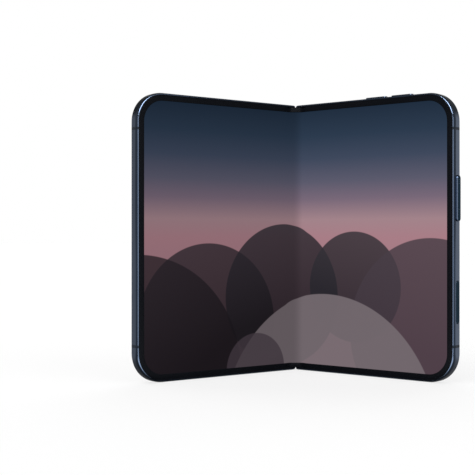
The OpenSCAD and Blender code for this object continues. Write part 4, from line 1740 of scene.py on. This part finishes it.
@dataclass
class Keys:
    """The keys in the edges, with softly rounded faces.

    Attributes:
        shop: Frame, sizes and finishes.
        keys: The keys.
        width: Width across the edge, in millimetres.
        round_r: Radius of the face's edge.
        round_steps: Steps round that edge.
        end_steps: Steps round each end of a key.
        wall_gap: Gap between the wall and the flange that keeps a key in.
        flange_t: Thickness of the flange.
        flange_gap: Gap that keeps its shell apart from the key's.
        flange_over: How far the flange is longer than the key at each end.
        flange_low: Lower side of the flange across the edge.
        flange_high: Its upper side.
        face_dot: A face that points out of the edge at least so straight is the key's face.
    """

    shop: Workshop
    keys: tuple[Key, ...] = (
        Key("power_key_cap", "power", Edge.FREE, 16.2, 19.0, 0.85, "key_face", "frame_metal"),
        Key("camera_key_cap", "camera", Edge.FREE, -26.8, 17.8, 0.0, "key_face", "camera_button"),
        Key("volume_down_cap", "volume_down", Edge.TOP, 43.9, 10.8, 0.5, "frame", "frame_metal"),
        Key("volume_up_cap", "volume_up", Edge.TOP, 57.1, 10.8, 0.5, "frame", "frame_metal"),
    )
    width: float = 2.6
    round_r: float = 0.22
    round_steps: int = 6
    end_steps: int = 14
    wall_gap: float = 0.05
    flange_t: float = 0.5
    flange_gap: float = 0.002
    flange_over: float = 0.45
    flange_low: float = -1.5
    flange_high: float = 1.2
    face_dot: float = 0.97

    def outline(self, length: float, inset: float) -> np.ndarray:
        """Outline of a key's face.

        Args:
            length: Length of the key.
            inset: How far the outline is drawn in.

        Returns:
            Places along the key and places across it.
        """
        r, reach = self.width / 2 - inset, (length - self.width) / 2
        points = []
        for sign in (1, -1):
            for i in range(self.end_steps + 1):
                a = math.radians(-90 + 180 * i / self.end_steps)
                points.append((sign * (reach + r * math.cos(a)), sign * r * math.sin(a)))
        return np.array(points).T

    def shape(self, key: Key) -> Shell:
        """Draws a key with the flange behind the wall.

        Args:
            key: The key.

        Returns:
            Its faces.
        """
        s, r = self.shop.sizes, self.round_r
        at, inner = key.at(s), -(s.wall + self.wall_gap)
        levels = [(0.0, inner), (0.0, key.out - r)]
        for i in range(1, self.round_steps + 1):
            a = math.radians(90 * i / self.round_steps)
            levels.append((r * (1 - math.cos(a)), key.out - r * (1 - math.sin(a))))
        shell = Shell()
        shell.tube(np.array(
            [key.edge.ring(at, height, *self.outline(key.length, inset))
             for inset, height in levels]
        ))
        half, low, high = key.length / 2 + self.flange_over, self.flange_low, self.flange_high
        along, across = np.array([-half, half, half, -half]), np.array([low, low, high, high])
        heights = (inner - self.flange_t, inner - self.flange_gap)
        shell.tube(np.array([key.edge.ring(at, height, along, across) for height in heights]))
        return shell

    def make(self, key: Key) -> None:
        """Makes one key.

        Args:
            key: The key.
        """
        place = self.shop.fold.stiff(Side.RIGHT)
        made = self.shop.dress(self.shape(key).build(key.piece, place, 40), "frame")
        made.data.materials.append(self.shop.finish(key.face))
        start, end = place(np.array([(0.0, 0.0, 0.0), key.edge.value]))
        out_of_it = Vector((end - start) / MM)
        for polygon in made.data.polygons:
            polygon.material_index = int(polygon.normal @ out_of_it > self.face_dot)
        self.shop.ride(weighted(made), f"{key.word}_key", key.slot, f"{key.word}_button")

    def build(self) -> None:
        """Builds the keys."""
        for key in self.keys:
            self.make(key)


@dataclass
class Cameras:
    """The cameras and the flash on the camera bar, and the small camera in the cover glass.

    Attributes:
        shop: Frame, sizes and finishes.
        barrel_r: Radius of a lens barrel.
        barrel_back: Height of its back over the bar's face.
        barrel_drop: Depth of its rim below the ring's top.
        step_in: How far each of its steps lies further in, with step_edge of it a slope.
        step_edge: Width of that slope.
        step_down: How much deeper each step lies.
        crown: Height of the front lens.
        flash_drop: How far the flash lies below the cameras.
        cover_drop: Distance of the small camera from the upper edge.
    """

    shop: Workshop
    barrel_r: float = 6.3
    barrel_back: float = -1.6
    barrel_drop: float = 0.95
    step_in: float = 0.42
    step_edge: float = 0.12
    step_down: float = 0.16
    crown: float = 0.3
    flash_drop: float = 4.9
    cover_drop: float = 12.0

    def centre(self, from_edge: float, drop: float = 0.0) -> Point:
        """Gives a point on the face of the camera bar.

        Args:
            from_edge: Distance from the free edge.
            drop: Distance below the cameras' middles.

        Returns:
            The point in the flat frame.
        """
        s = self.shop.sizes
        return s.half_w - from_edge, s.lens_y - drop, s.bar_top

    def ring(self, which: str, centre: Point) -> None:
        """Makes a camera's metal ring.

        Args:
            which: Name of the camera.
            centre: Its middle on the bar's face.
        """
        s = self.shop.sizes
        r, w, h = s.ring_d / 2, s.ring_wall, s.ring_h
        section = rounded(
            [(r - w, 0, 0), (r, 0, 0), (r, h, 0.45), (r - 0.62, h, 0.06), (r - w, h - 0.28, 0.08)],
            6,
        )
        self.shop.stiff(revolve(centre, section), f"{which}_ring_cap", Side.RIGHT, "ring",
                        "ring_metal", f"{which}_camera_ring", smooth=28)

    def window(self, which: str, centre: Point) -> None:
        """Makes the clear window in a ring.

        Args:
            which: Name of the camera.
            centre: Its middle on the bar's face.
        """
        s = self.shop.sizes
        r, top, bevel = s.ring_d / 2 - s.ring_wall - 0.02, s.ring_h - 0.3, 0.08
        section = [(0, top - 0.6), (r, top - 0.6), (r, top - bevel), (r - bevel, top), (0, top)]
        self.shop.stiff(revolve(centre, section), f"{which}_window_glass", Side.RIGHT, "window",
                        "lens_glass", f"{which}_camera_window", smooth=28)

    def lens(self, which: str, centre: Point, open_r: float) -> None:
        """Makes the stepped barrel and the coated front lens behind a window.

        Args:
            which: Name of the camera.
            centre: Its middle on the bar's face.
            open_r: Radius of the front lens.
        """
        top = self.shop.sizes.ring_h - self.barrel_drop
        section = [(0, self.barrel_back), (self.barrel_r, self.barrel_back), (self.barrel_r, top)]
        r, z = self.barrel_r - 0.9, top
        while r > open_r + 0.25:
            section += [(r, z), (r - self.step_edge, z - self.step_down),
                        (r - self.step_in, z - self.step_down)]
            r, z = r - self.step_in, z - self.step_down
        section += [(open_r, z), (open_r, z - 0.2), (0, z - 0.2)]
        self.shop.stiff(revolve(centre, section), f"{which}_barrel_steps", Side.RIGHT, "barrel",
                        "black_plastic", smooth=25)
        arc = np.radians(np.linspace(0, 90, 14))[:-1]
        dome = [(open_r * math.cos(a), z - 0.2 + self.crown * math.sin(a)) for a in arc]
        section = [(0, z - 0.21), *dome, (0, z - 0.2 + self.crown)]
        self.shop.stiff(revolve(centre, section, 64), f"{which}_front_lens", Side.RIGHT, "lens",
                        "lens_glass", smooth=40, even=False)

    def flash(self) -> None:
        """Makes the flash window with its moulded rings."""
        section = [(0, -2.0), (1.78, -2.0), (1.78, -0.06), (1.7, 0.0)]
        r, pitch = 1.5, 0.24
        while r > 0.3:
            section += [(r, 0.0), (r - pitch / 4, -0.07), (r - pitch * 3 / 4, 0.0)]
            r -= pitch
        section.append((0, 0.0))
        centre = self.centre(self.shop.sizes.flash_x, self.flash_drop)
        self.shop.stiff(revolve(centre, section, 64), "flash_diffuser", Side.RIGHT, "flash",
                        "flash", "flash_window")

    def cover_camera(self) -> None:
        """Makes the small camera's lens flush in the cover glass."""
        s = self.shop.sizes
        section = [(0, -0.3), (1.9, -0.3), (1.9, 0.005), (1.5, 0.012), (1.45, -0.01), (0, -0.01)]
        centre = (s.half_w / 2, s.body_h - self.cover_drop, -s.body_t)
        self.shop.stiff(revolve(centre, section, 48), "cover_camera_lens", Side.LEFT, "lens",
                        "lens_glass", even=False)

    def build(self) -> None:
        """Builds all of them."""
        s = self.shop.sizes
        for which, from_edge, open_r in (("main", s.main_x, 3.0), ("wide", s.wide_x, 2.5)):
            centre = self.centre(from_edge)
            self.ring(which, centre)
            self.window(which, centre)
            self.lens(which, centre, open_r)
        self.flash()
        self.cover_camera()


@dataclass
class Row:
    """A row of small blocks or discs along X, made with Geometry Nodes.

    Attributes:
        name: Name of the piece.
        count: How many there are.
        middle: Middle of the row, in the flat frame and in millimetres.
        pitch: Distance from one to the next.
        size: Length along each axis; a disc takes its diameter and thickness from the first two.
        discs: Makes discs along Y instead of blocks.
        corners: Corners of a disc's outline.
    """

    name: str
    count: int
    middle: Point
    pitch: float
    size: Point
    discs: bool = False
    corners: int = 20

    def build(self, finish: bpy.types.Material) -> bpy.types.Object:
        """Makes the row.

        Args:
            finish: Its material.

        Returns:
            The row as plain mesh in the flat frame.
        """
        first = (self.middle[0] - (self.count - 1) / 2 * self.pitch, *self.middle[1:])
        given = {
            "Count": ("Int", self.count), "Start": ("Vector", first),
            "Step": ("Vector", (self.pitch, 0.0, 0.0)), "Size": ("Vector", self.size),
            "Finish": ("Material", finish),
        }
        tree = bpy.data.node_groups.new(self.name + "_row", "GeometryNodeTree")
        new = tree.interface.new_socket
        new("Geometry", in_out="OUTPUT", socket_type="NodeSocketGeometry")
        named = {key: new(key, in_out="INPUT", socket_type="NodeSocket" + kind).identifier
                 for key, (kind, _) in given.items()}
        self.fill(Nodes(tree))
        made = linked(self.name, bpy.data.meshes.new(self.name))
        modifier = made.modifiers.new("row", "NODES")
        modifier.node_group = tree
        for key, (_, value) in given.items():
            modifier[named[key]] = value
        return flatten(made)

    def fill(self, nodes: Nodes) -> None:
        """Builds the row's tree from its inputs to its output.

        Args:
            nodes: The tree.
        """
        given = nodes.node("NodeGroupInput").outputs
        turn = (0.0, 0.0, 0.0)
        if self.discs:
            wide, thick, _ = nodes.split(given["Size"])
            sizes = {"Radius": nodes.math("MULTIPLY", wide, 0.5), "Depth": thick}
            shape = nodes.node("GeometryNodeMeshCylinder", {"Vertices": self.corners, **sizes})
            turn = (math.pi / 2, 0.0, 0.0)
        else:
            shape = nodes.node("GeometryNodeMeshCube", {"Size": given["Size"]})
        line = nodes.node("GeometryNodeMeshLine", {
            "Count": given["Count"], "Start Location": given["Start"], "Offset": given["Step"],
        })
        place = nodes.node("GeometryNodeInstanceOnPoints", {
            "Points": line.outputs["Mesh"], "Instance": shape.outputs["Mesh"], "Rotation": turn,
        })
        real = nodes.node("GeometryNodeRealizeInstances", (place.outputs["Instances"],))
        dressed = nodes.node("GeometryNodeSetMaterial", {
            "Geometry": real.outputs["Geometry"], "Material": given["Finish"],
        })
        nodes.node("NodeGroupOutput", (dressed.outputs["Geometry"],))


@dataclass
class Openings:
    """What shows in the openings of the edges: dust mesh, and contacts on the socket's tongue.

    Attributes:
        shop: Frame, sizes and finishes.
        pitch: Distance between sound holes, in millimetres.
        disc: Diameter and thickness of a disc of mesh.
        depth: Depth of the mesh in a hole.
        sound_off: Distance of each lower row of holes from the socket's middle.
        socket_z: Height of the socket's middle.
        tongue: Height of the contacts over the middle of the tongue.
        contacts_y: Distance of the contacts' middles from the lower edge.
        contact_pitch: Distance between contacts.
        contact: Size of a contact.
    """

    shop: Workshop
    pitch: float = 2.4
    disc: Point = (1.28, 0.2, 0.0)
    depth: float = 0.9
    sound_off: float = 15.0
    socket_z: float = -3.05
    tongue: float = 0.36
    contacts_y: float = 3.2
    contact_pitch: float = 0.5
    contact: Point = (0.25, 3.6, 0.04)

    def row(self, row: Row, side: Side, key: str, slot: str) -> None:
        """Makes a row and sets it on its half.

        Args:
            row: The row.
            side: The half.
            key: Key of the finish.
            slot: The record's material slot.
        """
        made = move_flat(row.build(self.shop.finish(key)), self.shop.fold.stiff(side))
        self.shop.ride(made, side.body, slot)

    def build(self) -> None:
        """Builds them all."""
        s = self.shop.sizes
        x, top = s.half_w / 2, s.body_h - self.depth
        for name, count, off, y, side in (
            ("speaker_mesh", 5, self.sound_off, self.depth, Side.RIGHT),
            ("voice_mesh", 5, -self.sound_off, self.depth, Side.RIGHT),
            ("ear_mesh", 7, 0.0, top, Side.LEFT),
        ):
            row = Row(name, count, (x + off, y, s.button_z), self.pitch, self.disc, discs=True)
            self.row(row, side, "mesh", "black_plastic")
        for name, up in (("upper", self.tongue), ("lower", -self.tongue)):
            at = (x, self.contacts_y, self.socket_z + up)
            row = Row(f"contacts_{name}", 12, at, self.contact_pitch, self.contact)
            self.row(row, Side.RIGHT, "contact", "bronze")


@dataclass
class Inside:
    """Finishes of the parts that stay as their solids are, inside the housing.

    Attributes:
        shop: Frame, sizes and finishes.
    """

    shop: Workshop

    def build(self) -> None:
        """Gives each part its finish."""
        sides = ("right", "left")
        for key, nodes in (
            ("steel", ["hinge_bracket_lower", "hinge_bracket_upper", "centre_support"]),
            ("steel", [f"{side}_{part}" for side in sides
                       for part in ("hinge_shafts", "hinge_arms", "support_plate", "magnets")]),
            ("screw", ["bracket_screws", *(f"{side}_arm_screws" for side in sides)]),
            ("bronze", [f"{side}_{part}" for side in sides
                        for part in ("idler_gears", "friction_washers")]),
            ("barrel", ["main_camera", "wide_camera", "cover_camera"]),
            ("pouch", [f"{side}_battery" for side in sides]),
            ("board", ["main_board", "left_board"]),
            ("can", ["board_shields", "usb_socket", "haptic_motor", "button_switches"]),
            ("black", ["bottom_speaker", "ear_speaker"]),
            ("cover_glass", ["cover_screen"]),
        ):
            self.shop.paint_nodes(key, *nodes)
        low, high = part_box("charging_coil")
        self.shop.finishes["coil"] = Coil("copper_coil", tuple((low + high) / 2))
        self.shop.paint_nodes("coil", "charging_coil")


# ---- Studio --------------------------------------------------------------------------------------


@dataclass(frozen=True)
class Lamp:
    """A soft lamp far away that lights surfaces but isn't seen in them.

    Attributes:
        name: Its name.
        azimuth: Direction it shines from, in degrees, where 0 is the front and 90 the right.
        height: Its angle above the floor, in degrees.
        strength: Light that it gives to a surface facing it.
        spread: Its width as seen from the phone, in degrees.
    """

    name: str
    azimuth: float
    height: float
    strength: float
    spread: float = 50.0

    def build(self) -> None:
        """Adds the lamp."""
        data = bpy.data.lights.new(self.name, "SUN")
        data.energy = self.strength
        data.angle = math.radians(self.spread)
        turn, height = math.radians(self.azimuth), math.radians(self.height)
        flat = math.cos(height)
        towards = Vector((math.sin(turn) * flat, -math.cos(turn) * flat, math.sin(height)))
        made = linked(self.name, data)
        made.rotation_euler = towards.to_track_quat("Z", "Y").to_euler()
        made.visible_glossy = False
        made.visible_camera = False


@dataclass(frozen=True)
class Panel:
    """A panel that shows only in glossy surfaces, as a bright line on the rim.

    Attributes:
        name: Its name.
        at: Its place, in metres.
        aim: The point it faces.
        size: Its width and height.
        radiance: How bright it shows.
    """

    name: str
    at: Point
    aim: Point
    size: tuple[float, float]
    radiance: float

    def build(self) -> None:
        """Adds the panel."""
        data = bpy.data.lights.new(self.name, "AREA")
        data.shape = "RECTANGLE"
        data.size, data.size_y = self.size
        data.energy = self.radiance * 4.0 * self.size[0] * self.size[1]
        made = linked(self.name, data)
        made.location = self.at
        towards = Vector(self.aim) - Vector(self.at)
        made.rotation_euler = towards.to_track_quat("-Z", "Y").to_euler()
        for ray in ("camera", "diffuse", "transmission"):
            setattr(made, f"visible_{ray}", False)


@dataclass
class Studio:
    """Floor, backdrop, lights and camera.

    Attributes:
        shop: Frame, sizes and finishes.
        lens: Focal length on the sensor.
        sensor: Width of the sensor.
        distance: Distance from the flat rim plane, in metres.
        shift: Sideways shift that keeps the phone where the photograph has it.
        floor_shade: Share of light that the floor gives back.
        floor_reach: Distance in millimetres to which the floor runs.
        floor_gap: How far it lies below the phone.
        glow: Brightness of the open floor to the eye, a trace over white.
        air: Strength of the light from all round.
        front: Strength of the surroundings in front, as metal shows them.
        above: Strength of the surroundings behind and above, as metal shows them.
        lamps: The lamps.
        panels: The panels.
    """

    shop: Workshop
    lens: float = 81.1
    sensor: float = 36.0
    distance: float = 0.4888
    shift: float = -0.1223
    floor_shade: float = 0.25
    floor_reach: float = 12000.0
    floor_gap: float = 0.01
    glow: float = 1.01
    air: float = 0.45
    front: float = 0.37
    above: float = 0.14
    lamps: tuple[Lamp, ...] = (
        Lamp("key_lamp", -35, 48, 1.2),
        Lamp("fill_lamp", 50, 30, 0.7),
        Lamp("back_lamp", 165, 40, 0.9),
        Lamp("left_back_lamp", -125, 35, 0.6),
    )
    panels: tuple[Panel, ...] = (
        Panel("rim_panel", (0.0, -0.12, 0.0225), (0.0, 0.0, 0.0225), (0.17, 0.225), 3.0),
        Panel("arc_panel", (0.0, -0.23, 0.30), (0.0, -0.02, 0.11), (0.26, 0.22), 18.0),
        Panel("left_rim_panel", (0.166, -0.116, 0.08), (-0.066, -0.024, 0.06), (0.05, 0.18), 0.9),
    )

    def camera(self) -> None:
        """Sets the camera level with the middle of the phone."""
        data = bpy.data.cameras.new("camera")
        data.lens, data.sensor_width = self.lens, self.sensor
        data.shift_x = self.shift
        data.clip_start, data.clip_end = 0.01, 20.0
        made = linked("camera", data)
        y = self.shop.fold.offset * MM - self.distance
        made.location = (0.0, y, self.shop.sizes.body_h / 2 * MM)
        made.rotation_euler = (math.pi / 2, 0.0, 0.0)
        bpy.context.scene.camera = made

    def shown(self, nodes: Nodes, kind: str, plain: Socket, eye: Socket, level: Socket) -> Socket:
        """Shows white to the eye and a level of its own to metal.

        Args:
            nodes: Tree to build in.
            kind: Node that shines in this tree.
            plain: Shader that lights the object.
            eye: Shader that is seen, also through glass.
            level: How bright metal shows the surface.

        Returns:
            The mixed shader.
        """
        mirrored = nodes.node(kind, {"Color": WHITE, "Strength": level}).outputs[0]
        plain = nodes.seen_by(["Is Glossy Ray"], mirrored, plain)
        return nodes.seen_by(["Is Camera Ray", "Is Transmission Ray"], eye, plain)

    def world(self) -> None:
        """Makes the pale surroundings, with a bright belt that metal shows."""
        world = bpy.data.worlds.new("pale_room")
        bpy.context.scene.world = world
        world.use_nodes = True
        nodes = Nodes(world.node_tree)
        plain = nodes.tree.nodes["Background"]
        nodes.put(plain.inputs["Color"], WHITE)
        nodes.put(plain.inputs["Strength"], self.air)
        eye = nodes.node("Background", {"Color": WHITE, "Strength": 1.0}).outputs[0]
        level = self.belt(nodes)
        shown = self.shown(nodes, "Background", plain.outputs[0], eye, level)
        nodes.put(nodes.tree.nodes["World Output"].inputs["Surface"], shown)

    def belt(self, nodes: Nodes) -> Socket:
        """Gives the strength of the surroundings as metal shows them, by direction.

        Args:
            nodes: The world's tree.

        Returns:
            The strength.
        """
        x, y, z = nodes.split(nodes.node("TexCoord").outputs["Generated"])
        level = nodes.math("ABSOLUTE", z)
        low = nodes.span(level, 0.15, 0.42, 1.0, self.above, smooth=True)
        side = nodes.span(x, -0.6, 0.6, 0.66, 1.15, smooth=True)
        behind = nodes.span(y, 0.24, 0.36, smooth=True)
        given = {0: behind, 2: self.front, 3: nodes.math("MULTIPLY", side, low)}
        return nodes.node("Mix", given).outputs[0]

    def floor_light(self) -> float:
        """Light that the open floor gives back, before its own glow."""
        lamps = sum(lamp.strength * math.sin(math.radians(lamp.height)) for lamp in self.lamps)
        return self.floor_shade * (self.air + lamps / math.pi)

    def floor_in_metal(self, paint: Paint) -> Socket:
        """Gives how bright the floor shows in metal, by place.

        Args:
            paint: The floor's material.

        Returns:
            The strength: low round the phone as a painted shadow, and bright far away and, as a
                painted pool of light, close in front of it.
        """
        x, y, _ = paint.split(paint.coords)
        away = paint.node("VectorMath", (paint.coords,), operation="LENGTH").outputs["Value"]
        # Painted shadow: the floor shows darker in metal close round the phone.
        far = paint.span(away, 0.05, 0.12, 0.25, 1.0, smooth=True)
        side = paint.span(x, -0.1, 0.1, 0.66, 1.1, smooth=True)
        behind = paint.span(y, -0.025, 0.0, self.front, 1.0, smooth=True)
        level = paint.math("MULTIPLY", far, paint.math("MULTIPLY", side, behind))
        # Painted light: a bright pool on the floor close in front of the phone, seen only in metal.
        near = paint.span(away, 0.08, 0.13, 1.0, 0.0, smooth=True)
        painted_light_ahead = paint.span(y, -0.045, -0.03, 4.5, 0.0, smooth=True)
        return paint.math("MAXIMUM", level, paint.math("MULTIPLY", near, painted_light_ahead))

    def floor(self) -> None:
        """Makes the floor, which keeps the phone's shadow and is otherwise white to the eye."""
        paint = Paint("pale_floor")
        paint.tree.nodes.remove(paint.shader)
        matt = paint.node("BsdfDiffuse", {"Color": (self.floor_shade,) * 3}).outputs[0]
        given = {"Color": WHITE, "Strength": self.glow - self.floor_light()}
        glow = paint.node("Emission", given).outputs[0]
        eye = paint.node("AddShader", (matt, glow)).outputs[0]
        shown = self.shown(paint, "Emission", matt, eye, self.floor_in_metal(paint))
        paint.put(paint.tree.nodes["Material Output"].inputs["Surface"], shown)
        a, z = self.floor_reach, CAD_BOX[0].z / MM - self.floor_gap
        shell = Shell()
        shell.cap(np.array([(-a, -a, z), (a, -a, z), (a, a, z), (-a, a, z)]))
        made = shell.build("floor", lambda flat: flat * MM)
        made.data.materials.append(paint.material)

    def build(self) -> None:
        """Builds the studio."""
        bpy.context.scene.view_settings.view_transform = "Standard"
        self.camera()
        self.world()
        self.floor()
        for light in (*self.lamps, *self.panels):
            light.build()


def main() -> None:
    """Builds every sub-assembly in order."""
    logging.basicConfig(level=logging.INFO, format="%(name)s: %(message)s")
    shop = Workshop(frame)
    Studio(shop).build()
    for part in (InnerScreen, RibbonCable, Housing, Keys, Cameras, Openings, Inside):
        part(shop).build()


if __name__ == "__main__":
    main()
